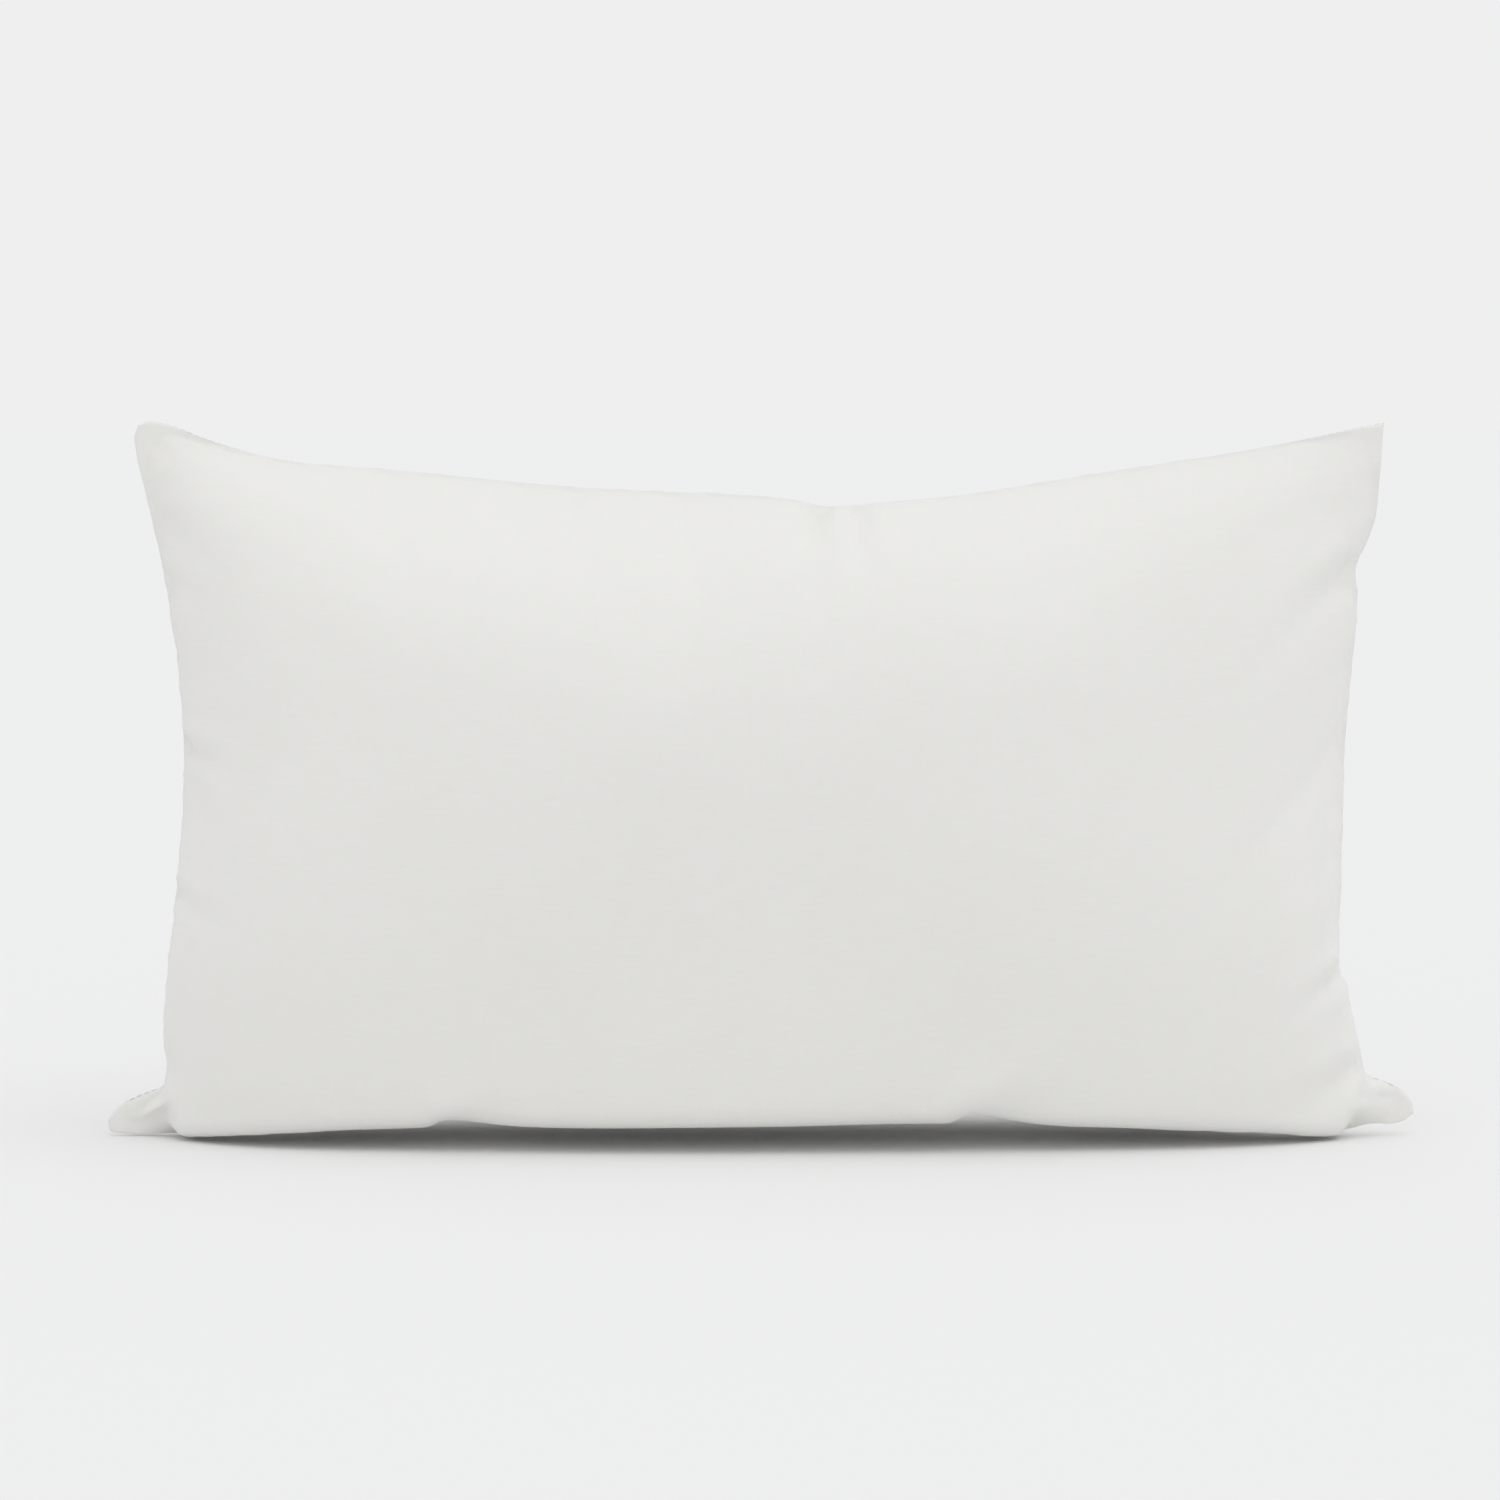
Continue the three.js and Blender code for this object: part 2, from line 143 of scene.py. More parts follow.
def hermite(points, share):
    """A smooth curve through points, at shares of its length."""
    points = np.asarray(points, float)
    at = lengths(points)
    slope = np.gradient(points, at, axis=0)
    t = np.clip(np.asarray(share), 0, 1) * at[-1]
    k = np.clip(np.searchsorted(at, t, side="right") - 1, 0, len(at) - 2)
    h = (at[k + 1] - at[k])[:, None]
    s = (t - at[k])[:, None] / h
    return (
        (2 * s**3 - 3 * s**2 + 1) * points[k]
        + (s**3 - 2 * s**2 + s) * h * slope[k]
        + (3 * s**2 - 2 * s**3) * points[k + 1]
        + (s**3 - s**2) * h * slope[k + 1]
    )


def resample(grid, at, axis):
    """grid at fractional indices along an axis, by cubic interpolation."""
    grid = np.moveaxis(grid, axis, 0)
    padded = np.concatenate([[2 * grid[0] - grid[1]], grid, [2 * grid[-1] - grid[-2]]])
    at = np.clip(np.asarray(at, float), 0, len(grid) - 1)
    k = np.minimum(at.astype(int), len(grid) - 2)
    s = (at - k).reshape((-1,) + (1,) * (grid.ndim - 1))
    a, b, c, d = (padded[k + i] for i in range(4))
    out = b + 0.5 * s * (c - a + s * (2 * a - 5 * b + 4 * c - d + s * (3 * (b - c) + d - a)))
    return np.moveaxis(out, 0, axis)


def spread(grid):
    """Each point's pull from its neighbours."""
    out = np.zeros_like(grid)
    for axis in (0, 1):
        step = np.moveaxis(np.diff(grid, axis=axis), axis, 0)
        view = np.moveaxis(out, axis, 0)
        view[:-1] += step
        view[1:] -= step
    return out


def fair(grid, held, weight, rounds=400):
    """The least bent surface that keeps the held points and stays near the rest, the nearer
    the greater the weight."""
    free = ~held[..., None]

    def bend(a):
        return weight * a + spread(spread(a))

    out = grid.copy()
    rest = free * (weight * grid - bend(out))
    step, size = rest.copy(), (rest * rest).sum()
    for _ in range(rounds):
        if size < 1e-16:
            break
        moved = free * bend(step)
        share = size / (step * moved).sum()
        out += share * step
        rest -= share * moved
        previous, size = size, (rest * rest).sum()
        step = rest + size / previous * step
    return out


def normals(grid, side):
    """A grid's unit normals, out of the front face (-1) or the back face (1)."""
    return unit(np.cross(np.gradient(grid, axis=1), np.gradient(grid, axis=0)) * -side)


def ramp(x, start, end):
    """A smooth step from 0 at start to 1 at end."""
    t = np.clip((np.asarray(x, float) - start) / (end - start), 0, 1)
    return t * t * (3 - 2 * t)


def edge_line(grid, start=0):
    """A grid's edge as a closed line, from so many points after its first corner."""
    line = np.concatenate([grid[0, :-1], grid[:-1, -1], grid[-1, :0:-1], grid[:0:-1, 0]])
    line = np.roll(line, -start, axis=0)
    return np.concatenate([line, line[:1]])


def ripple(x, seed, waves):
    """A smooth irregular line from a few waves, given as (length, size)."""
    rng = np.random.default_rng(seed)
    return sum(size * np.sin(2 * np.pi * (x / length + rng.random())) for length, size in waves)


# ---- Inflating the cover ----

U = np.linspace(-1, 1, ACROSS + 1)
V = np.linspace(0, 1, HIGH + 1)


def seam_targets():
    """Where each edge vertex of the cover's grid ends up: bottom, top, left and right."""
    wave = [(61, 0.45), (37, 0.25), (23, 0.1)]

    def placed(points, share, seed, size):
        flat = hermite(points, share)
        ease = np.minimum(1, np.minimum(share, 1 - share) * 12)
        run = share * FLAT_WIDTH / MM
        return np.c_[flat[:, 0], ripple(run, seed, wave) * size * ease, flat[:, 1]] * MM

    return (
        placed(BOTTOM_SEAM, (U + 1) / 2, 5, 0.3),
        placed(TOP_SEAM, (U + 1) / 2, 6, 1.0),
        placed(LEFT_SEAM, 1 - V, 7, 1.0),
        placed(RIGHT_SEAM, 1 - V, 8, 1.0),
    )


def flat_point(u, v, side):
    """The cover as cut, with the back a little slack above its zip."""
    height = FLAT_HEIGHT
    if side > 0 and v > ZIP_ROW_SHARE:
        height += 10 * MM * (v - ZIP_ROW_SHARE) * (1 - u * u)
    bulge = 6 * MM * side * math.sqrt(max(0, (1 - u * u) * (1 - (2 * v - 1) ** 2)))
    return (u * FLAT_WIDTH / 2, bulge, 160 * MM + (v - 0.5) * height)


def beside_zip(i, j):
    """Whether a vertex of the back belongs to the band that is sewn to the zip."""
    return abs(j - ZIP_ROW) < len(ZIP_ROWS_MM) and abs(U[i]) * FLAT_WIDTH / 2 < 181 * MM


def shared(i, j, side):
    """A vertex's key: the two faces share those along the seam."""
    return (i, j, 0 if i in (0, ACROSS) or j in (0, HIGH) else side)


def cover_cage():
    """The cover flat, as vertices and faces, with what is held and where it goes."""
    bottom, top, left, right = seam_targets()
    rng = np.random.default_rng(11)
    index, flat, final, held, faces = {}, [], [], [], []

    def target(i, j, side):
        if j == 0:
            return bottom[i]
        if j == HIGH:
            return top[i]
        if i == 0:
            return left[j]
        if i == ACROSS:
            return right[j]
        row = j - ZIP_ROW
        if side > 0 and beside_zip(i, j):
            y = math.copysign(ZIP_ROWS_MM[abs(row)], row) * MM
            return zip_point(-U[i] * FLAT_WIDTH / 2, y, FACE_HEIGHT)
        return None

    def vertex(i, j, side):
        key = shared(i, j, side)
        if key not in index:
            index[key] = len(flat)
            point = np.array(flat_point(U[i], V[j], key[2]))
            point[1] += rng.normal() * 0.05 * MM if key[2] else 0
            goal = target(i, j, side)
            if goal is not None:
                held.append(index[key])
            flat.append(point)
            final.append(point if goal is None else goal)
        return index[key]

    for side in (-1, 1):
        for j in range(HIGH):
            for i in range(ACROSS):
                a, b = vertex(i, j, side), vertex(i + 1, j, side)
                c, d = vertex(i + 1, j + 1, side), vertex(i, j + 1, side)
                faces.append((a, b, c, d) if side < 0 else (a, d, c, b))
    return index, flat, final, held, faces


def resting_surface():
    """The floor as the cloth meets it, with the low arch along the middle of the base."""
    xs = np.linspace(-0.4, 0.4, 81)
    rise = ARCH * np.cos(np.clip(xs / ARCH_REACH, -1, 1) * np.pi / 2) ** 2
    verts = [(x, y, z) for y in (-0.3, 0.3) for x, z in zip(xs, rise)]
    faces = [(i, i + 1, i + 82, i + 81) for i in range(80)]
    surface = added_mesh("rest", verts, faces)
    surface.modifiers.new("stop", "COLLISION")
    surface.collision.thickness_outer = 1 * MM
    surface.collision.cloth_friction = 20
    return surface


INFLATE_FRAMES, CLOSE_BY = 40, 12
CLOTH_SETTINGS = {
    "quality": 6, "mass": 0.1, "vertex_group_mass": "held",
    "tension_stiffness": 60, "compression_stiffness": 3, "shear_stiffness": 20, "bending_stiffness": 1.0,
    "tension_damping": 5, "compression_damping": 5, "shear_damping": 5,
    "use_pressure": True, "uniform_pressure_force": 14,
}


def inflate():
    """Simulates the sewn cover filling out, and gives its two faces as grids."""
    index, flat, final, held, faces = cover_cage()
    cover = added_mesh("cover_sim", flat, faces)
    cover.shape_key_add(name="flat")
    key = cover.shape_key_add(name="placed")
    key.data.foreach_set("co", np.asarray(final, np.float32).ravel())
    for value, at in ((0, 1), (1, CLOSE_BY)):
        key.value = value
        key.keyframe_insert("value", frame=at)
    cover.vertex_groups.new(name="held").add(held, 1.0, "REPLACE")
    cloth = cover.modifiers.new("cloth", "CLOTH")
    for name, value in CLOTH_SETTINGS.items():
        setattr(cloth.settings, name, value)
    cloth.settings.effector_weights.gravity = 0
    cloth.point_cache.frame_start, cloth.point_cache.frame_end = 1, INFLATE_FRAMES
    surface = resting_surface()
    scene = bpy.context.scene
    cloth.collision_settings.use_collision = True
    cloth.collision_settings.distance_min = 1 * MM
    scene.frame_start, scene.frame_end = 1, INFLATE_FRAMES
    for number in range(1, INFLATE_FRAMES + 1):
        scene.frame_set(number)
    shaped = cover.evaluated_get(bpy.context.evaluated_depsgraph_get())
    points = np.empty(len(flat) * 3, np.float32)
    shaped.data.vertices.foreach_get("co", points)
    points = points.reshape(-1, 3).astype(float)
    grids = [
        points[[[index[shared(i, j, side)] for i in range(ACROSS + 1)] for j in range(HIGH + 1)]]
        for side in (-1, 1)
    ]
    for thing in (cover, surface):
        data = thing.data
        bpy.data.objects.remove(thing)
        bpy.data.meshes.remove(data)
    scene.frame_set(1)
    return grids


# ---- Materials ----


def new_material(name, colour, roughness, **sockets):
    material = bpy.data.materials.new(name)
    material.use_nodes = True
    shader = material.node_tree.nodes["Principled BSDF"]
    shader.inputs["Base Color"].default_value = (*colour, 1)
    shader.inputs["Roughness"].default_value = roughness
    for socket, value in sockets.items():
        shader.inputs[socket.replace("_", " ")].default_value = value
    return material


class Nodes:
    """Short calls for building one material's node tree."""

    def __init__(self, material):
        self.tree = material.node_tree
        self.shader = self.tree.nodes["Principled BSDF"]

    def add(self, kind, inputs=None, **values):
        node = self.tree.nodes.new(kind)
        for name, value in values.items():
            setattr(node, name, value)
        for name, value in (inputs or {}).items():
            node.inputs[name].default_value = value
        return node

    def link(self, start, end):
        self.tree.links.new(start, end)

    def math(self, operation, a, b=None):
        node = self.add("ShaderNodeMath", operation=operation)
        for socket, value in zip(node.inputs, (a, b)):
            if isinstance(value, (int, float)):
                socket.default_value = value
            elif value is not None:
                self.link(value, socket)
        return node.outputs[0]

    def along_cloth(self, scale=(1, 1, 1)):
        """The cloth's own flat coordinates, in metres."""
        where = self.add("ShaderNodeAttribute", attribute_name="cloth")
        mapping = self.add("ShaderNodeMapping", {"Scale": scale})
        self.link(where.outputs["Vector"], mapping.inputs["Vector"])
        return mapping.outputs["Vector"]

    def noise(self, vector, scale, detail=2.0, roughness=0.5):
        values = {"Scale": scale, "Detail": detail, "Roughness": roughness}
        node = self.add("ShaderNodeTexNoise", values)
        self.link(vector, node.inputs["Vector"])
        return node.outputs["Fac"]

    def ramp(self, value, *stops):
        node = self.add("ShaderNodeValToRGB")
        elements = node.color_ramp.elements
        while len(elements) < len(stops):
            elements.new(0.5)
        for element, (at, colour) in zip(elements, stops):
            element.position = at
            element.color = (*colour, 1)
        self.link(value, node.inputs["Fac"])
        return node.outputs["Color"]

    def bump(self, height, strength, distance, under=None):
        node = self.add("ShaderNodeBump", {"Strength": strength, "Distance": distance})
        self.link(height, node.inputs["Height"])
        if under is not None:
            self.link(under, node.inputs["Normal"])
        return node.outputs["Normal"]

    def in_object(self):
        return self.add("ShaderNodeTexCoord").outputs["Object"]

    def relief(self, height, strength, distance, under=None):
        self.link(self.bump(height, strength, distance, under), self.shader.inputs["Normal"])

    def colour(self, value, *stops):
        self.link(self.ramp(value, *stops), self.shader.inputs["Base Color"])


def plain_weave(nodes, pitch):
    """Height of a plain weave: warp and weft rise in turn where they cross."""
    split = nodes.add("ShaderNodeSeparateXYZ")
    wander = nodes.noise(nodes.along_cloth((0.06, 1, 1)), 900, 1.0)
    nodes.link(nodes.along_cloth(), split.inputs[0])
    turn = math.pi / pitch
    x = nodes.math("MULTIPLY", split.outputs["X"], turn)
    z = nodes.math("ADD", nodes.math("MULTIPLY", split.outputs["Y"], turn), wander)
    crossing = nodes.math("MULTIPLY", nodes.math("SINE", x), nodes.math("SINE", z))
    return nodes.math("ABSOLUTE", crossing), crossing


def woven(name, colour, shade, pitch, slub=1.0, roughness=0.92, sheen=0.25):
    """A plain-woven cloth with slubs along the weft."""
    material = new_material(
        name, colour, roughness, Sheen_Weight=sheen, Sheen_Roughness=0.6, Specular_IOR_Level=0.2
    )
    nodes = Nodes(material)
    height, crossing = plain_weave(nodes, pitch)
    slubs = nodes.noise(nodes.along_cloth((1, 22, 1)), 70, 3.0, 0.6)
    streaks = nodes.noise(nodes.along_cloth((24, 1.4, 1)), 55, 2.0)
    cloudy = nodes.noise(nodes.along_cloth(), 14, 2.0)
    tone = nodes.math("MULTIPLY", slubs, 0.5)
    for layer, share in ((streaks, 0.2), (cloudy, 0.3), (crossing, 0.05)):
        tone = nodes.math("ADD", tone, nodes.math("MULTIPLY", layer, share))
    nodes.colour(tone, (0.36, shade), (0.62, colour))
    nodes.relief(height, 0.55, 0.1 * MM, nodes.bump(slubs, 0.35 * slub, 0.12 * MM))
    return material


def thread_material():
    """Two-ply thread: a fine twist runs round each stitch, and painted shade darkens the grooves between
    its plies.
    """
    material = new_material("thread", (0.8, 0.8, 0.785), 0.75, Sheen_Weight=0.3)
    nodes = Nodes(material)
    values = {"Scale": 900, "Distortion": 1.0}
    wave = nodes.add("ShaderNodeTexWave", values, bands_direction="DIAGONAL")
    nodes.link(nodes.in_object(), wave.inputs["Vector"])
    nodes.relief(wave.outputs["Fac"], 0.5, 0.06 * MM)
    # painted shade: the colour follows the twist's height, darker in its grooves
    nodes.colour(wave.outputs["Fac"], (0, (0.7, 0.7, 0.68)), (1, (0.82, 0.82, 0.805)))
    return material


def tape_material():
    """Herringbone tape: ribs lean one way and then the other across its width, with painted shade
    darkening the hollows between the ribs.
    """
    material = new_material("zip_tape", (0.78, 0.78, 0.765), 0.85, Sheen_Weight=0.2)
    nodes = Nodes(material)
    split = nodes.add("ShaderNodeSeparateXYZ")
    nodes.link(nodes.along_cloth(), split.inputs[0])
    fold = nodes.math("PINGPONG", split.outputs["Y"], 1.6 * MM)
    lean = nodes.math("ADD", split.outputs["X"], fold)
    ribs = nodes.math("SINE", nodes.math("MULTIPLY", lean, 2 * math.pi / (0.7 * MM)))
    nodes.relief(ribs, 0.6, 0.12 * MM)
    # painted shade: the colour follows the ribs' height, darker in their hollows
    shade = nodes.math("MULTIPLY_ADD", ribs, 0.5)
    nodes.colour(shade, (0, (0.7, 0.7, 0.685)), (1, (0.8, 0.8, 0.785)))
    return material


def grained(name, colour, roughness, scale, strength, depth, *stops, **sockets):
    """A hard material with a fine grain, in its surface and in its colour."""
    material = new_material(name, colour, roughness, **sockets)
    nodes = Nodes(material)
    grain = nodes.noise(nodes.in_object(), scale)
    nodes.relief(grain, strength, depth)
    nodes.colour(grain, *stops)
    return material


def coil_material():
    """Drawn nylon, which lets a little light into itself."""
    return grained(
        "zip_coil", (0.84, 0.84, 0.825), 0.32, 2500, 0.15, 0.02 * MM,
        (0.3, (0.8, 0.8, 0.78)), (0.7, (0.86, 0.86, 0.845)),
        Subsurface_Weight=0.25, Subsurface_Scale=0.4 * MM, Coat_Weight=0.15,
    )


def enamel_material():
    """White enamel, with the slight orange peel of a sprayed coat."""
    return grained(
        "zip_metal", (0.8, 0.8, 0.79), 0.28, 900, 0.2, 0.05 * MM,
        (0.2, (0.77, 0.77, 0.76)), (0.8, (0.82, 0.82, 0.81)),
        Coat_Weight=0.5, Coat_Roughness=0.15,
    )


def stop_material():
    """Bare crimped metal, unevenly dull."""
    material = new_material("zip_stop", (0.72, 0.72, 0.73), 0.35, Metallic=1.0)
    nodes = Nodes(material)
    scratches = nodes.noise(nodes.in_object(), 4000, 3.0)
    rough = nodes.math("MULTIPLY_ADD", scratches, 0.3)
    rough.node.inputs[2].default_value = 0.2
    nodes.link(rough, nodes.shader.inputs["Roughness"])
    return material


def fibre_material():
    """Crimped hollow fibre: curling strands in soft clumps."""
    material = new_material("fibre", (0.87, 0.87, 0.87), 0.95, Sheen_Weight=0.4)
    nodes = Nodes(material)
    strands = nodes.add("ShaderNodeTexNoise", {"Scale": 160, "Detail": 6, "Distortion": 2.5})
    nodes.link(nodes.in_object(), strands.inputs["Vector"])
    nodes.relief(strands.outputs["Fac"], 0.8, 1.5 * MM)
    nodes.colour(strands.outputs["Fac"], (0.3, (0.78, 0.78, 0.78)), (0.7, (0.9, 0.9, 0.9)))
    return material


MATERIALS = {
    "cover_cloth": woven("cover_cloth", (0.871, 0.864, 0.840), (0.846, 0.839, 0.813), 0.42 * MM, 0.7),
    "ticking": woven("ticking", (0.86, 0.86, 0.86), (0.83, 0.83, 0.83), 0.3 * MM, slub=0.3),
    "label": woven("label", (0.88, 0.88, 0.88), (0.85, 0.85, 0.85), 0.2 * MM, slub=0.1, roughness=0.5),
    "thread": thread_material(),
    "zip_tape": tape_material(),
    "zip_coil": coil_material(),
    "zip_metal": enamel_material(),
    "zip_stop": stop_material(),
    "fibre": fibre_material(),
}


# ---- Making pieces ----


def piece(name, points, faces, slot, body, nodes, flat=None):
    """A finished mesh that rides a body and stands for CAD nodes. flat gives each point's
    place on the cloth as cut, in metres."""
    made = added_mesh(name, points, faces)
    mesh = made.data
    mesh.polygons.foreach_set("use_smooth", np.ones(len(mesh.polygons), bool))
    if flat is not None:
        attribute = mesh.attributes.new("cloth", "FLOAT_VECTOR", "POINT")
        attribute.data.foreach_set("vector", np.asarray(flat, np.float32).ravel())
    mesh.materials.append(MATERIALS[slot])
    mesh.update()
    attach(made, body)
    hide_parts(*nodes)
    return made


def grid_faces(rows, columns, start=0, flip=False):
    faces = []
    for j in range(rows - 1):
        for i in range(columns - 1):
            a = start + j * columns + i
            quad = (a, a + 1, a + columns + 1, a + columns)
            faces.append(quad[::-1] if flip else quad)
    return faces


def closed_sheet(outer, inner, side):
    """Points and faces of a closed body between two grids."""
    rows, columns = outer.shape[:2]
    count = rows * columns
    points = np.concatenate([outer.reshape(-1, 3), inner.reshape(-1, 3)])
    faces = grid_faces(rows, columns, 0, side > 0) + grid_faces(rows, columns, count, side < 0)
    rim = edge_line(np.arange(count).reshape(rows, columns), 1 - rows).tolist()
    for a, b in zip(rim, rim[1:]):
        quad = (b, a, a + count, b + count)
        faces.append(quad[::-1] if side > 0 else quad)
    return points, faces


def cloth_piece(name, outer, inner, flat, side, slot, node):
    """A piece of cloth between two grids. flat gives both grids' place on the cloth as cut."""
    points, faces = closed_sheet(outer, inner, side)
    cut = np.concatenate([flat.reshape(-1, 3)] * 2)
    return piece(name, points, faces, slot, "pillow", [node], cut)


def sleeve_faces(rings, sides, flip=False):
    """The faces round a row of rings, with capped ends."""
    faces = []
    for j in range(rings - 1):
        for i in range(sides):
            k = (i + 1) % sides
            faces.append((j * sides + i, j * sides + k, (j + 1) * sides + k, (j + 1) * sides + i))
    last = (rings - 1) * sides
    faces.append(tuple(range(sides))[::-1])
    faces.append(tuple(last + i for i in range(sides)))
    return [face[::-1] for face in faces] if flip else faces


def tube(path, radius, sides=6):
    """Points and faces round a path."""
    path = np.asarray(path, float)
    tangent = unit(np.gradient(path, axis=0))
    first = unit(np.cross(tangent, OUT))
    second = np.cross(tangent, first)
    angle = 2 * np.pi * np.arange(sides) / sides
    ring = np.cos(angle)[None, :, None] * first[:, None] + np.sin(angle)[None, :, None] * second[:, None]
    reach = np.broadcast_to(radius, len(path))[:, None, None]
    return (path[:, None] + ring * reach).reshape(-1, 3), sleeve_faces(len(path), sides)


def stitched(name, node, starts, ends, lift=(0, 0, 0)):
    """A piece of stitches between pairs of points, each a short tube bowed by lift."""
    points, faces, count = [], [], 0
    shares = np.array([0, 0.06, 0.2, 0.5, 0.8, 0.94, 1])
    sizes = np.array([0.35, 0.8, 1, 1, 1, 0.8, 0.35]) * THREAD_RADIUS
    bow = np.sin(np.pi * shares)[:, None] * lift
    for a, b in zip(starts, ends):
        p, f = tube(a + (b - a) * shares[:, None] + bow, sizes)
        points.append(p)
        faces += [tuple(i + count for i in face) for face in f]
        count += len(p)
    piece(name, np.concatenate(points), faces, "thread", "pillow", [node])


# ---- The cover ----

DEPTH = 66.4 * MM  # of the front, from the seam
KEPT_PUCKER = 0.15  # share of the simulated puckers that stays


def cells_to_seam():
    """Distance from each simulated vertex to the sides and to the nearest seam, on the flat."""
    rows, columns = np.mgrid[: HIGH + 1, : ACROSS + 1]
    sideways = np.minimum(columns, ACROSS - columns) * FLAT_WIDTH / ACROSS
    return sideways, np.minimum(sideways, np.minimum(rows, HIGH - rows) * FLAT_HEIGHT / HIGH)


TO_SIDES, TO_SEAM = cells_to_seam()


def settled(grid, side):
    """A simulated face with its puckers eased, no deeper than the pillow."""
    held = TO_SEAM == 0
    if side > 0:
        rows, columns = np.mgrid[: HIGH + 1, : ACROSS + 1]
        held |= np.vectorize(beside_zip)(columns, rows)
    smooth = fair(grid, held, 0.012)
    eased = smooth + KEPT_PUCKER * (grid - smooth)
    if side < 0:
        eased[..., 1] *= DEPTH / np.abs(eased[..., 1]).max()
        eased = footed(eased)
    eased[..., 2] = np.maximum(eased[..., 2], 0.5 * MM)
    eased[TO_SEAM == 0] = grid[TO_SEAM == 0]
    return eased


def evened(back, front):
    """The back made as full as the front above the zip."""
    share = ramp(np.arange(HIGH + 1), ZIP_ROW + 1, ZIP_ROW + 13)[:, None] * ramp(TO_SEAM, 0, 14 * MM)
    return back + share[..., None] * (front * [1, -1, 1] - back)


FOOT_BEND = 7 * MM  # radius of the bend between the base and the front
FOOT_DEPTH = 0.8  # of the front's greatest depth above
FOOT_LEAN = 0.16  # back from the upright, above the bend
FOOT_FADE = 45 * MM, 185 * MM  # up the cloth, from wholly shaped to as simulated

# Where the front folds over the root of each lower ear: top and foot of the fold, (x, z) mm.
EAR_FOLDS = [((-229.8, 20), (-225, 0)), ((233.6, 22.5), (225.2, 4.5))]
EAR_FILL = 1.8  # added to each lower ear's thickness, as a share of it


def footed(grid):
    """The front filled out towards its foot, with the lower ears left behind it."""
    x, z = grid[..., 0] / MM, grid[..., 2] / MM
    inside = np.ones_like(x)
    for (x0, z0), (x1, z1) in EAR_FOLDS:
        fold = unit((x1 - x0, z1 - z0)) * np.sign(x0)
        inside *= ramp((x - x0) * fold[1] - (z - z0) * fold[0], -2, 3.5)
    run = np.arange(HIGH + 1)[:, None] * FLAT_HEIGHT / HIGH
    deep = FOOT_DEPTH * -grid[..., 1].min(axis=0, keepdims=True)
    bend = np.minimum(FOOT_BEND, 0.7 * deep)
    angle = np.clip((run - deep + bend) / np.maximum(bend, 1e-9), 0, np.pi / 2)
    rest = np.maximum(run - deep + bend - bend * np.pi / 2, 0)
    foot_y = -np.minimum(run, deep - bend) - bend * np.sin(angle) - FOOT_LEAN * rest
    foot_z = grid[0, :, 2] + bend * (1 - np.cos(angle)) + 0.99 * rest
    share = inside * (1 - ramp(run, *FOOT_FADE)) * ramp(TO_SIDES, 0, 26 * MM)
    out = grid.copy()
    out[..., 1] = share * foot_y + (1 - share) * grid[..., 1] * (1 + EAR_FILL * (1 - inside))
    out[..., 2] = share * foot_z + (1 - share) * grid[..., 2]
    return out


front_sim, back_sim = inflate()
front_sim = settled(front_sim, -1)
back_sim = evened(settled(back_sim, 1), front_sim)


def edge_refined(cells, metres):
    """Fractional indices along a face: two to a cell, and closer towards both edges."""
    cell = metres / cells
    near = np.array([0, 0.3, 0.7, 1.2, 1.8]) * MM / cell
    near = np.r_[near, np.arange(near[-1] + 0.25, 7, 0.25)]
    inside = np.arange(near[-1] + 0.5, cells - near[-1] - 0.25, 0.5)
    return np.r_[near, inside, cells - near[::-1]]


def fine_grid(grid, columns, rows):
    """grid at fractional columns and rows."""
    return resample(resample(grid, rows, 0), columns, 1)


COLUMNS = edge_refined(ACROSS, FLAT_WIDTH)
ROWS = edge_refined(HIGH, FLAT_HEIGHT)


def flat_grid(columns, rows):
    """The place of columns and rows on the cloth as cut, as (x, height, 0)."""
    x = (columns / ACROSS - 0.5) * FLAT_WIDTH
    z = rows / HIGH * FLAT_HEIGHT
    return np.stack(np.broadcast_arrays(x[None, :], z[:, None], 0.0), -1)


def seam_distance(flat):
    """Distance on the flat cloth to its sewn edge."""
    x, z = np.abs(flat[..., 0]), flat[..., 1]
    return np.minimum(FLAT_WIDTH / 2 - x, np.minimum(z, FLAT_HEIGHT - z))


def to_corner(flat):
    """Distance on the flat cloth to the nearest corner of the cover."""
    x, z = np.abs(flat[..., 0]), flat[..., 1]
    return np.hypot(FLAT_WIDTH / 2 - x, np.minimum(z, FLAT_HEIGHT - z))


def seam_level(grid, flat):
    """The y of the nearest seam, at each point of a face."""
    x, z = flat[..., 0], flat[..., 1]
    away = [z, FLAT_HEIGHT - z, x + FLAT_WIDTH / 2, FLAT_WIDTH / 2 - x]
    edges = [grid[:1, :, 1], grid[-1:, :, 1], grid[:, :1, 1], grid[:, -1:, 1]]
    return np.choose(np.argmin(away, axis=0), [np.broadcast_to(edge, x.shape) for edge in edges])


def inward(grid):
    """At each point, the way in from the seam nearest to it, square to that seam."""
    rows, columns = grid.shape[:2]
    j, i = np.mgrid[:rows, :columns]
    total = np.zeros_like(grid)
    for line, near, turn in (
        (grid[0], j, 1), (grid[-1], rows - 1 - j, -1),
        (grid[:, 0], i, -1), (grid[:, -1], columns - 1 - i, 1),
    ):
        run = np.gradient(line, axis=0)
        way = unit(np.stack([-run[:, 2], 0 * run[:, 0], run[:, 0]], -1) * turn)
        way = way[None] if len(line) == columns else way[:, None]
        total += way * np.exp(-((near / 3.0) ** 2))[..., None] + way * 1e-9
    return unit(total)


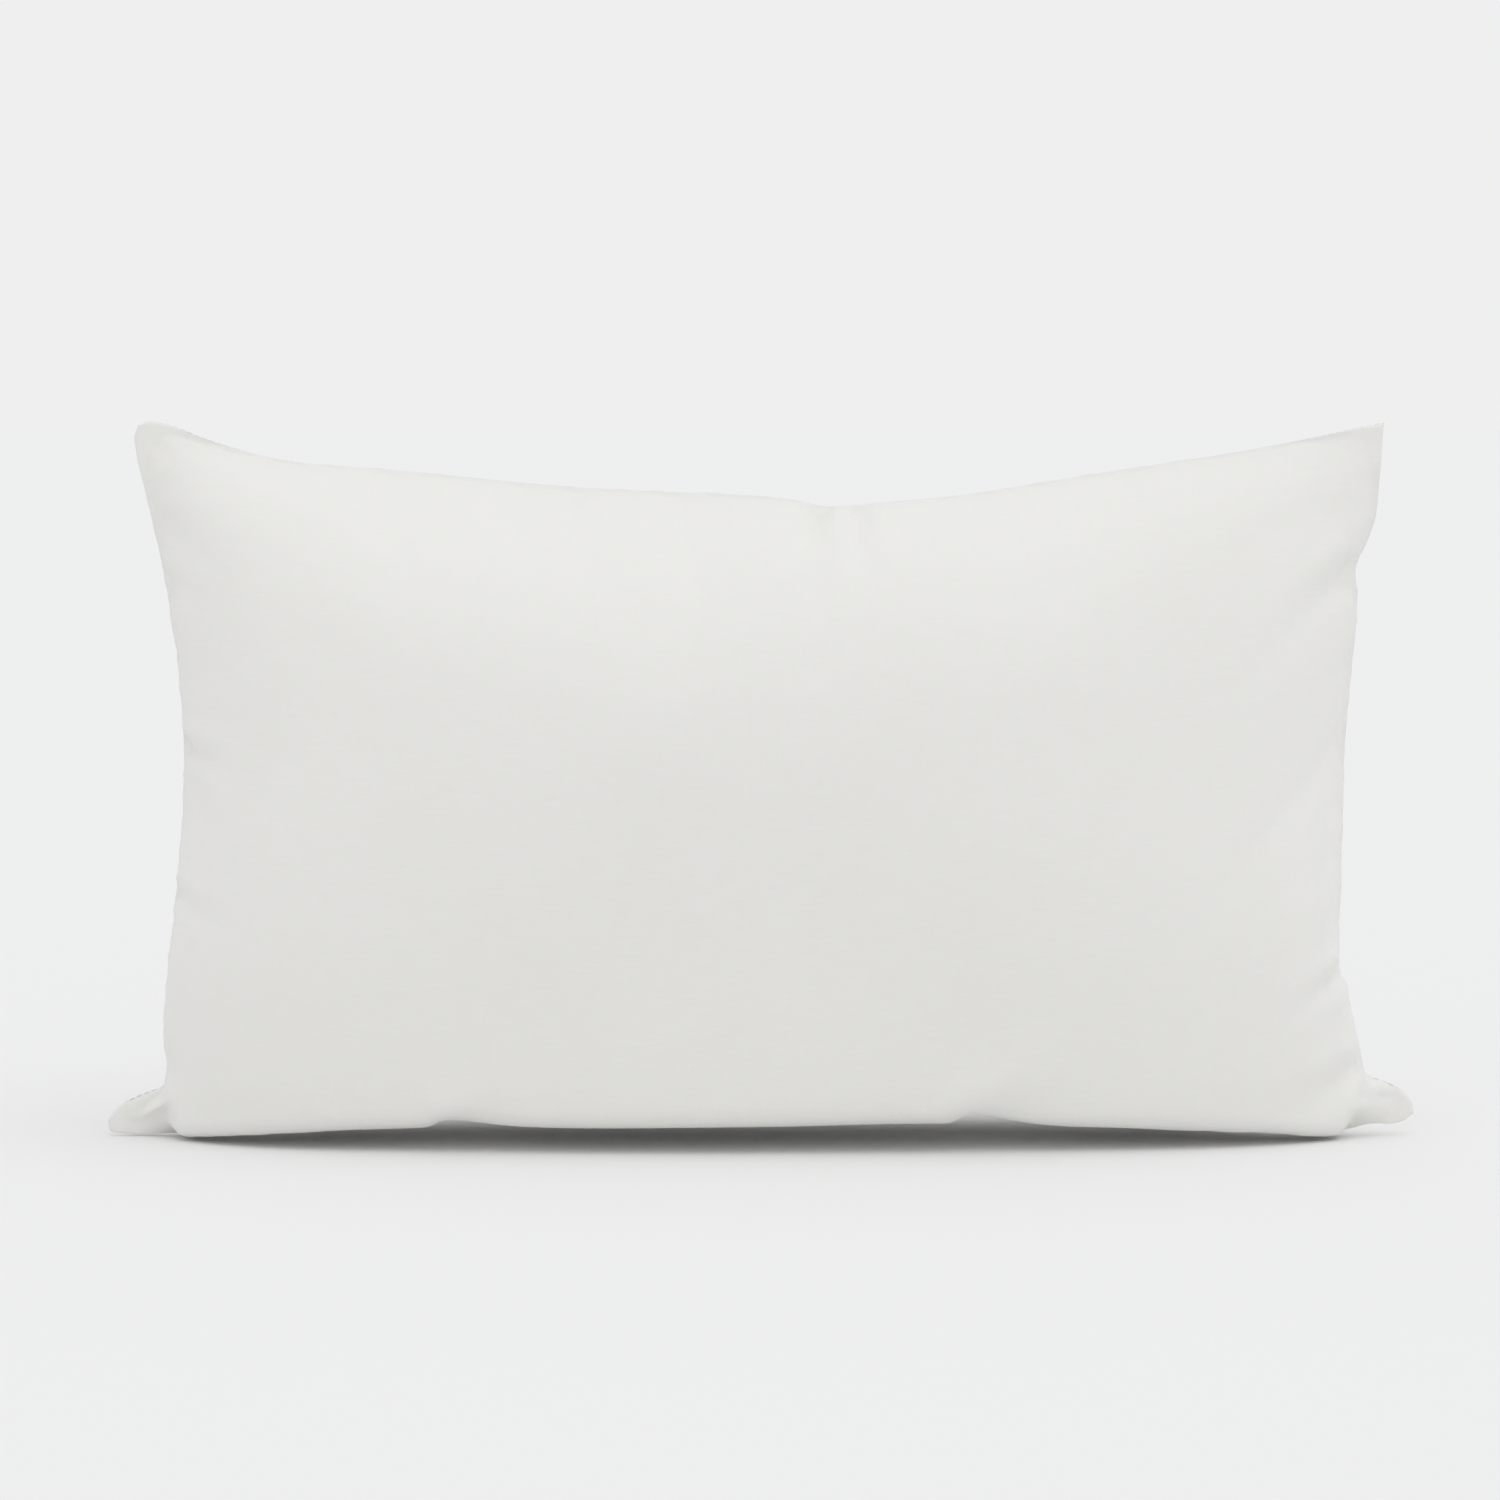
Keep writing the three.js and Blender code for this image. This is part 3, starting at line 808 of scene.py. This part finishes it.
# Creases of the front: start (x, z), end (x, z), half width and depth, in millimetres.
FRONT_CREASES = [
    ((23, 242), (14, 229), 3.2, 3.2),
    ((37, 242), (39, 222), 3.5, 1.6),
    ((29, 236), (30, 203), 4.0, -1.0),
    ((227, 219), (207, 201), 5.5, 3.6),
    ((-234, 266), (-200, 238), 8.0, -2.2),
    ((-231, 237), (-214, 223), 5.5, 1.6),
    ((-221, 151), (-200, 144), 3.4, 2.4),
    ((-224, 95), (-206, 86), 3.4, 1.8),
    ((-229, 215), (-212, 205), 4.5, 2.0),
    ((222, 65), (205, 52), 3.4, 2.4),
    ((229, 27), (206, 13), 5.0, 2.6),
    ((235, 21), (228, 6.5), 3.2, 1.3),
    ((-233.5, 17.5), (-229.5, 4), 4.0, 0.8),
    ((-120, 8), (-96, 13), 5.0, 2.6),
    ((78, 9), (110, 17), 6.5, 3.2),
]
BACK_CREASES = [
    ((-30, 245), (-24, 230), 3.2, 1.4),
    ((150, 259), (144, 246), 3.0, 1.0),
    ((-229, 212), (-214, 204), 3.0, 1.8),
    ((224, 128), (206, 124), 3.0, 1.5),
    ((-223, 118), (-205, 114), 3.0, 1.5),
]


RIDGE_OFF = 1.9  # from a crease's middle, in half widths


def creased(grid, side, creases, ridge=0.35):
    """Presses creases into a face, each with a low ridge to both sides. None is pressed deeper
    than the thickness there allows."""
    x, z = grid[..., 0] / MM, grid[..., 2] / MM
    depth = np.zeros_like(x)
    for (x0, z0), (x1, z1), width, deep in creases:
        along = np.array([x1 - x0, z1 - z0], float)
        length = np.linalg.norm(along)
        along /= length
        s = (x - x0) * along[0] + (z - z0) * along[1]
        widened = width * (1 + 0.4 * s / length)
        off = np.abs((z - z0) * along[0] - (x - x0) * along[1]) / widened
        fade = np.exp(-np.maximum(0, s / length) ** 2 * 1.6) * np.exp(-np.maximum(0, -s / 4) ** 2)
        depth += deep * fade * (np.exp(-(off**2)) - ridge * np.exp(-((off - RIDGE_OFF) ** 2)))
    most = np.maximum(0, 0.55 * np.abs(grid[..., 1]) - 0.5 * MM)
    depth = np.clip(depth * MM, -most, most)
    return grid - normals(grid, side) * depth[..., None]


def finished_face(coarse, side, creases):
    """The outer surface of one face with its creases, seam puckers and rolled edge."""
    flat = flat_grid(COLUMNS, ROWS)
    plain = fine_grid(coarse, COLUMNS, ROWS)
    grid = creased(plain, side, creases)
    d = seam_distance(flat) / MM
    run = (flat[..., 0] + 1.7 * flat[..., 1]) / MM
    pucker = ripple(run, 21 + side, [(11, 0.08), (7.3, 0.06), (19, 0.12)])
    lift = pucker * np.exp(-((d / 9) ** 2)) * np.clip(d / 1.5, 0, 1)
    roll = 0.3 * np.sin(np.pi * np.clip(d / 5, 0, 1)) ** 0.8
    grid = grid + normals(grid, side) * ((lift + roll) * MM)[..., None]
    grid[d < 1e-6] = plain[d < 1e-6] + [0, side * 0.03 * MM, 0]
    rim = (1.3 - ramp(to_corner(flat), 30 * MM, 60 * MM)) * MM  # the least thickness beside a seam
    rim = rim * np.sqrt(1 - (1 - np.clip(d / 2, 0, 1)) ** 2)
    grid[..., 1] = side * np.maximum(side * grid[..., 1], side * seam_level(plain, flat) + rim)
    tuck = np.clip(1 - d / 1.2, 0, 1)[..., None]
    return grid + inward(plain) * tuck * 0.25 * MM, flat


def under(grid, side, thickness, flat):
    """The inner surface of a cloth: below the face, but further in beside a seam."""
    share = np.clip(seam_distance(flat) / (2.5 * MM), 0, 1)[..., None]
    return grid + unit((1 - share) * inward(grid) - share * normals(grid, side)) * thickness


def turned_in(outer, inner, flat, side, ends):
    """Adds the seam allowance, folded in from the named edges of a panel."""
    length = SEAM_ALLOWANCE * (0.3 + 0.7 * ramp(to_corner(flat), 4 * MM, 40 * MM))
    way = inward(outer) * length[..., None]
    for axis, last in ends:
        edge = np.s_[-1:] if last else np.s_[:1]
        pick = edge if axis == 0 else (np.s_[:], edge)
        folded = outer[pick] + way[pick]
        lining = folded + np.array([0, side, 0]) * CLOTH
        beyond = flat[pick] + 0
        beyond[..., 1 - axis] += SEAM_ALLOWANCE * (1 if last else -1)
        outer, inner, flat, way = (
            np.concatenate([whole, part] if last else [part, whole], axis)
            for whole, part in ((outer, folded), (inner, lining), (flat, beyond), (way, way[pick]))
        )
    return outer, inner, flat


def front_panel():
    """The front, with its allowance turned in all round."""
    outer, flat = finished_face(front_sim, -1, FRONT_CREASES)
    inner = under(outer, -1, CLOTH, flat)
    ends = ((0, False), (0, True), (1, False), (1, True))
    outer, inner, flat = turned_in(outer, inner, flat, -1, ends)
    made = cloth_piece("cover_front_cloth", outer, inner, flat, -1, "cover_cloth", "cover_front")


front_panel()

back_outer, back_flat = finished_face(back_sim, 1, BACK_CREASES)


def opening_half(x):
    """Half the gap between the two back panels, at x."""
    closed = ramp(np.abs(x), WINDOW, WINDOW + WINDOW_TAPER)
    return WINDOW_HALF + (SEWN_HALF - WINDOW_HALF) * closed


def back_panel(upper):
    """One of the two back panels, whose inner edge is turned under beside the zip."""
    sign = 1 if upper else -1
    near = np.array([0, 0.25, 0.6, 1.1, 2.0, 3.4])[::sign] * MM
    middle = fine_grid(back_sim, COLUMNS, [ZIP_ROW])[0]
    second = fine_grid(back_sim, COLUMNS, [ZIP_ROW + sign])[0]
    away = unit(second - middle)
    half = opening_half(middle[:, 0])
    body = [k for k, row in enumerate(ROWS) if sign * (row - ZIP_ROW) > 1.9]
    n = normals(back_outer, 1)[np.argmin(np.abs(ROWS - ZIP_ROW))]
    zip_z = ZIP_ROW / HIGH * FLAT_HEIGHT
    edge, flat_edge = [], []
    for d in near:
        drop = EDGE_TURN * (1 - math.sqrt(max(0.0, 1 - (1 - min(1, d / EDGE_TURN)) ** 2)))
        edge.append(middle + away * (half + d)[:, None] - n * drop)
        flat_edge.append(np.c_[back_flat[0, :, 0], zip_z + sign * (half + d), 0 * half])
    grid, flat = (
        np.concatenate([turned, face[body]] if upper else [face[body], turned])
        for turned, face in ((edge, back_outer), (flat_edge, back_flat))
    )
    inner = under(grid, 1, CLOTH, flat)
    ends = ((0, upper), (1, False), (1, True))
    grid, inner, flat = turned_in(grid, inner, flat, 1, ends)
    name = f"cover_back_{'upper' if upper else 'lower'}"
    made = cloth_piece(name + "_cloth", grid, inner, flat, 1, "cover_cloth", name)


back_panel(True)
back_panel(False)


def seam_stitches():
    """The cover's seam thread, seen in the groove between the panels."""
    ring = edge_line(front_sim)
    middle = np.array([0, 0, 0.13])
    pitch, in_from_seam = 3 * MM, 0.75 * MM
    at = np.arange(0, lengths(ring)[-1] - pitch, pitch)

    def point(s):
        p = on_line(ring, s)
        return p + unit((middle - p) * [1, 0, 1]) * in_from_seam

    starts, ends = point(at + 0.3 * MM), point(at + 2.7 * MM)
    starts[:, 2] = np.maximum(starts[:, 2], 0.4 * MM)
    ends[:, 2] = np.maximum(ends[:, 2], 0.4 * MM)
    stitched("cover_seam_stitches", "cover_seam_thread", starts, ends)


seam_stitches()


# ---- The zip ----


def topstitching(sign, name):
    """A row of stitches beside the opening, with a bar tack at each end."""
    pitch, y = 3.1 * MM, sign * 7.8 * MM
    x = np.arange(-171 * MM, 168 * MM, pitch)
    starts = zip_point(x, y, FACE_HEIGHT + 0.02 * MM)
    ends = zip_point(x + 2.5 * MM, y, FACE_HEIGHT + 0.02 * MM)
    tack_y = sign * np.linspace(0.8, 7.0, 8) * MM
    for end in (-1, 1):
        tack = end * (WINDOW + WINDOW_TAPER + 0.6 * MM)
        starts = np.concatenate([starts, zip_point(tack - MM, tack_y, FACE_HEIGHT)])
        ends = np.concatenate([ends, zip_point(tack + MM, tack_y, FACE_HEIGHT)])
    stitched(f"zip_stitches_{name}", f"zip_stitching_{name}", starts, ends, OUT * 0.12 * MM)


def zip_tape(sign, name):
    """A woven tape, thicker at the beaded edge that carries the coil."""
    profile = np.array([
        (0.66, -0.25), (0.72, -0.06), (0.9, 0.02), (2.6, 0.02), (2.9, -0.08), (10.6, -0.08),
        (10.95, -0.14), (11.05, -0.25), (10.95, -0.38), (10.6, -0.44), (0.9, -0.5), (0.72, -0.42),
    ]) * MM
    xs = np.linspace(-TAPE_HALF, TAPE_HALF, 89)
    rings = zip_point(xs[:, None], sign * profile[None, :, 0], profile[None, :, 1])
    faces = sleeve_faces(len(xs), len(profile), flip=sign < 0)
    flat = np.stack(np.broadcast_arrays(xs[:, None], profile[None, :, 0], 0.0), -1)
    made = piece(
        f"zip_tape_{name}_cloth", rings.reshape(-1, 3), faces, "zip_tape", "pillow",
        [f"zip_tape_{name}"], flat.reshape(-1, 3),
    )
    made.data.polygons.foreach_set("use_smooth", np.zeros(len(made.data.polygons), bool))


def zip_coil(sign, name):
    """A nylon coil: each turn reaches over the middle to lock with the other coil's."""
    pitch, steps = 1.3 * MM, 14
    turns = int(2 * COIL_HALF / pitch) - 1
    t = np.arange(turns * steps + 1) / steps
    x = -COIL_HALF + 0.3 * MM + pitch * (t + (0.5 if sign > 0 else 0))
    angle = 2 * np.pi * t
    y = sign * (1.0 + 1.25 * np.cos(angle)) * MM
    z = (0.92 + 0.6 * np.sin(angle)) * MM
    points, faces = tube(zip_point(x, y, z), 0.29 * MM)
    piece(f"zip_coil_{name}_turns", points, faces, "zip_coil", "pillow", [f"zip_coil_{name}"])


def cast(name, parts, slot, body, node, voxel):
    """One rounded casting from overlapping prisms, each (outline, low, high, place), where
    place turns the outline's numbers and a height into a point."""
    bm = bmesh.new()
    for outline, low, high, place in parts:
        ring = [bm.verts.new(place(x, y, low)) for x, y in outline]
        lid = [bm.verts.new(place(x, y, high)) for x, y in outline]
        bm.faces.new(ring[::-1])
        bm.faces.new(lid)
        for a, b in zip(range(len(ring)), [*range(1, len(ring)), 0]):
            bm.faces.new((ring[a], ring[b], lid[b], lid[a]))
    bmesh.ops.recalc_face_normals(bm, faces=bm.faces)
    mesh = bpy.data.meshes.new(name)
    bm.to_mesh(mesh)
    bm.free()
    rough = added(name + "_rough", mesh)
    remesh = rough.modifiers.new("cast", "REMESH")
    remesh.mode = "VOXEL"
    remesh.voxel_size = voxel
    soften = rough.modifiers.new("soften", "SMOOTH")
    soften.factor, soften.iterations = 0.5, 4
    shaped = rough.evaluated_get(bpy.context.evaluated_depsgraph_get())
    result = shaped.to_mesh()
    points = np.array([v.co[:] for v in result.vertices])
    faces = [tuple(p.vertices) for p in result.polygons]
    shaped.to_mesh_clear()
    bpy.data.objects.remove(rough)
    bpy.data.meshes.remove(mesh)
    return piece(name, points, faces, slot, body, [node])


def at_slider(x, y, z):
    """From millimetres about the slider's middle, at rest."""
    return tuple(zip_point(SLIDER_X + x * MM, y * MM, z * MM))


def both_ways(outline, low, high, place):
    """The same prism on either side of the middle."""
    return [([(x, sign * y) for x, y in outline], low, high, place) for sign in (-1, 1)]


def rounded(x0, x1, y0, y1, radius, steps=5):
    """A rectangle with round corners, as points."""
    corners = ((x1, y1, 0), (x0, y1, 90), (x0, y0, 180), (x1, y0, 270))
    outline = []
    for x, y, start in corners:
        cx = x - math.copysign(radius, x - (x0 + x1) / 2)
        cy = y - math.copysign(radius, y - (y0 + y1) / 2)
        for k in range(steps + 1):
            a = math.radians(start + 90 * k / steps)
            outline.append((cx + radius * math.cos(a), cy + radius * math.sin(a)))
    return outline


def slider():
    """The slider: shaped plates, side flanges, the divider, and the bail over the top."""
    plate = [
        (-4.7, -2.3), (-4.2, -3.3), (-3.0, -3.8), (-1.0, -3.75), (2.0, -3.1), (3.9, -2.8), (4.7, -2.2),
        (4.7, 2.2), (3.9, 2.8), (2.0, 3.1), (-1.0, 3.75), (-3.0, 3.8), (-4.2, 3.3), (-4.7, 2.3),
    ]
    parts = [(plate, -1.7, -0.8, at_slider), (plate, 1.9, 2.8, at_slider)]
    flange = [
        (-4.2, 2.75), (-3.0, 3.8), (-1.0, 3.75), (2.0, 3.1), (4.2, 2.7), (4.2, 2.1), (0, 2.7), (-3, 2.9),
    ]
    parts += both_ways(flange, 0.4, 2.4, at_slider)
    parts.append((rounded(-4.2, -1.6, -0.35, 0.35, 0.3), -1.3, 2.4, at_slider))

    def upright(x, z, y):
        return at_slider(x, y, z)

    for x0, x1 in ((-2.2, -1.4), (1.4, 2.2)):
        parts.append((rounded(x0, x1, 2.4, 4.8, 0.2), -0.7, 0.7, upright))
    parts.append((rounded(-2.2, 2.2, 4.5, 5.3, 0.38), -0.7, 0.7, upright))
    return cast("zip_slider_cast", parts, "zip_metal", "slider", "zip_slider", 0.11 * MM)


def pull():
    """The pull: an eye round the bail, a tapered tab with a raised rim, and a round end."""

    def at_hinge(x, y, z):
        return at_slider(x, y, z + HINGE_HEIGHT / MM)

    def arc(radius, angles):
        return [(19.2 + radius * math.cos(a), radius * math.sin(a)) for a in angles]

    end = arc(2.8, np.linspace(-1.45, 1.45, 15))
    web = [(3.2, -2.15), (6, -1.9), (12, -2.2)] + end + [(12, 2.2), (6, 1.9), (3.2, 2.15)]
    arm = [
        (-0.4, 2.1), (-0.4, 1.1), (3.6, 1.1), (3.6, 1.4), (6, 1.2), (12, 1.5), (12, 2.2), (6, 1.9),
        (3.2, 2.1),
    ]
    rim = [(11.5, 1.45), (17.5, 1.95), (17.5, 2.75), (11.5, 2.15)]
    turn = np.linspace(-1.6, 1.6, 17)
    thick = -0.45, 0.45, at_hinge
    parts = [
        (web, -0.25, 0.25, at_hinge),
        (rounded(-0.45, 0.45, -2.1, 2.1, 0.4), *thick),
        *both_ways(arm, *thick),
        *both_ways(rim, *thick),
        (rounded(3.2, 4.6, -2.0, 2.0, 0.3), *thick),
        (arc(2.8, turn) + arc(2.0, turn[::-1]), *thick),
    ]
    return cast("zip_pull_cast", parts, "zip_metal", "pull", "zip_pull", 0.13 * MM)


def zip_stop(name, x, y0, y1):
    """A crimped stop, closed over the coil's end."""

    def place(a, b, c):
        return tuple(zip_point(x + a * MM, b * MM, c * MM))

    parts = [(rounded(-0.9, 0.9, y0, y1, 0.35), 0.25, 1.8, place)]
    groove = rounded(-0.45, 0.45, y0 + 0.4, y1 - 0.4, 0.2)
    parts.append((groove, 1.6, 2.0, place))
    cast(name + "_crimp", parts, "zip_stop", "pillow", name, 0.09 * MM)


def build_zip():
    for sign, name in ((1, "upper"), (-1, "lower")):
        topstitching(sign, name)
        zip_tape(sign, name)
        zip_coil(sign, name)
    slider()
    pull()
    zip_stop("zip_top_stop_upper", -164.3 * MM, 0.65, 2.75)
    zip_stop("zip_top_stop_lower", -164.3 * MM, -2.75, -0.65)
    zip_stop("zip_bottom_stop", 164.3 * MM, -2.75, 2.75)


build_zip()


# ---- Inside ----


LAYER_FLAT = flat_grid(np.linspace(0, ACROSS, ACROSS + 1), np.linspace(0, HIGH, HIGH + 1))


def smoothed(grid):
    """A face evened out between its edges."""
    edge = np.ones(grid.shape[:2], bool)
    edge[1:-1, 1:-1] = False
    return fair(grid, edge, 0.05)


def inner_faces(inset, shrink):
    """Both faces of a layer inside the cover, smoothed, and clear of it by inset."""
    columns = np.linspace(shrink / FLAT_WIDTH, 1 - shrink / FLAT_WIDTH, ACROSS + 1) * ACROSS
    rows = np.linspace(shrink / FLAT_HEIGHT, 1 - shrink / FLAT_HEIGHT, HIGH + 1) * HIGH
    out = []
    for side, grid, creases in ((-1, front_sim, FRONT_CREASES), (1, back_sim, BACK_CREASES)):
        layer = fine_grid(smoothed(grid), columns, rows)
        wider = [(start, end, 1.6 * width, deep) for start, end, width, deep in creases]
        layer = creased(layer, side, wider, ridge=0)
        out.append(layer - normals(layer, side) * inset)
    seam = (out[0] + out[1]) / 2
    for grid, side in zip(out, (-1, 1)):
        for edge in (np.s_[0, :], np.s_[-1, :], np.s_[:, 0], np.s_[:, -1]):
            grid[edge] = seam[edge] + np.array([0, side * 0.2 * MM, 0])
    return out


def casing():
    """The inner pillow's casing and its seam."""
    shell = inner_faces(2.6 * MM, 12 * MM)
    for grid, side, name in zip(shell, (-1, 1), ("front", "back")):
        inner = under(grid, side, 0.5 * MM, LAYER_FLAT)
        made = cloth_piece(
            f"insert_{name}_casing", grid, inner, LAYER_FLAT, side, "ticking", f"insert_{name}"
        )
    ring = edge_line((shell[0] + shell[1]) / 2, ACROSS // 2)
    closing = 0.15 * FLAT_WIDTH
    for name, start, end in (
        ("seam", closing, lengths(ring)[-1] - closing),
        ("closing", 1 * MM, closing - 3 * MM),
    ):
        at = np.arange(start, end, 2.6 * MM)
        starts, ends = on_line(ring, at), on_line(ring, at + 2.1 * MM)
        stitched(f"insert_{name}_stitches", f"insert_{name}_thread", starts, ends)


casing()


def filling():
    """The fibre: a padded body with the soft lumps of stuffed clumps."""
    front, back = inner_faces(3.9 * MM, 16 * MM)
    x, z = LAYER_FLAT[..., 0] / MM, LAYER_FLAT[..., 1] / MM
    for grid, side in ((front, -1), (back, 1)):
        lumps = ripple(x + 0.6 * z, 31 + side, [(47, 0.25), (29, 0.2)])
        lumps = lumps * ripple(z - 0.4 * x, 41 + side, [(39, 1.0)])
        grid -= normals(grid, side) * ((np.abs(lumps) + 0.1) * MM)[..., None]
    points, faces = closed_sheet(front, back, -1)
    made = piece("fibre_filling", points, faces, "fibre", "pillow", ["fibre_fill"])


filling()


def paced(line, start, length, count):
    """Fractional indices evenly spaced along a line of points, from a start."""
    run = lengths(line)
    at = np.interp(start, np.arange(len(run)), run) + np.linspace(0, length, count)
    return np.interp(at, run, np.arange(len(run)))


LABEL_COLUMNS, LABEL_ROWS = 25, 17
LABEL_UNDER = 1.6 * MM  # the cover's outer face
LABEL_THICK = 0.2 * MM


def label(name, grid, side, column, row):
    """A blank label lying under the cover, beside a side seam."""
    ahead = 1 if column < ACROSS / 2 else -1
    line = grid[row][::ahead]
    across = paced(line, min(column, ACROSS - column), LABEL_WIDTH, LABEL_COLUMNS)
    across = across if ahead > 0 else ACROSS - across[::-1]
    middle = round(float(across[LABEL_COLUMNS // 2]))
    up = paced(grid[:, middle], row, LABEL_HEIGHT, LABEL_ROWS)
    patch = fine_grid(grid, across, up)
    patch = patch - normals(patch, side) * LABEL_UNDER
    x, z = np.linspace(0, LABEL_WIDTH, LABEL_COLUMNS), np.linspace(0, LABEL_HEIGHT, LABEL_ROWS)
    flat = np.stack(np.broadcast_arrays(x[None, :], z[:, None], 0.0), -1)
    inner = patch - normals(patch, side) * LABEL_THICK
    made = cloth_piece(name + "_blank", patch, inner, flat, side, "label", name)


label("care_label", front_sim, -1, 1, 20)
label("insert_label", back_sim, 1, ACROSS - 1, 28)


def panel_stitches(side, name):
    """The short seams that join the two back panels beyond the zip."""
    columns = np.linspace(0, ACROSS, 401)
    face = fine_grid(back_sim, columns, np.linspace(0, HIGH, HIGH + 1))
    line = face[ZIP_ROW] - normals(face, 1)[ZIP_ROW] * MM
    far = side * line[:, 0] > WINDOW + WINDOW_TAPER + 2 * MM
    line = line[far][2:-6] if side > 0 else line[far][6:-2]
    at = np.arange(0, lengths(line)[-1] - 3 * MM, 3 * MM)
    starts, ends = on_line(line, at), on_line(line, at + 2.4 * MM)
    stitched(f"back_seam_stitches_{name}", f"back_seam_thread_{name}", starts, ends)


panel_stitches(-1, "left")
panel_stitches(1, "right")


# ---- Floor, light and camera ----

PALE = 0.863  # the floor and the air behind it, as the camera sees them
KEY = 0.5  # the lamp's strength
KEY_FROM = unit((0.25, -0.25, 0.95))


def floor():
    corners = [(-60, -60, 0), (60, -60, 0), (60, 60, 0), (-60, 60, 0)]
    plane = added_mesh("floor", corners, [(0, 1, 2, 3)])
    shade = PALE / (PALE + KEY * KEY_FROM[2] / math.pi)
    plane.data.materials.append(new_material("floor", (shade,) * 3, 1.0, Specular_IOR_Level=0.0))
    plane.location.z = -0.2 * MM


def lights():
    world = bpy.data.worlds.new("studio")
    world.use_nodes = True
    background = world.node_tree.nodes["Background"]
    background.inputs["Color"].default_value = (1, 1, 1, 1)
    background.inputs["Strength"].default_value = PALE
    bpy.context.scene.world = world
    key = bpy.data.lights.new("key", "SUN")
    key.energy = KEY
    key.angle = math.radians(60)
    key.color = (0.965, 0.985, 1.0)
    added("key", key).rotation_euler = Vector(KEY_FROM).to_track_quat("Z", "Y").to_euler()


def camera():
    distance, elevation = 1.9, math.radians(4)
    view_width = 0.5775  # at the pillow
    target = Vector((-4.2 * MM, 0, 149.4 * MM))
    data = bpy.data.cameras.new("camera")
    data.sensor_width = 36
    data.lens = 36 * distance / view_width
    made = added("camera", data)
    back = Vector((0, -math.cos(elevation), math.sin(elevation)))
    made.location = target + back * distance
    made.rotation_euler = back.to_track_quat("Z", "Y").to_euler()
    bpy.context.scene.camera = made


floor()
lights()
camera()
bpy.context.scene.view_settings.view_transform = "Standard"
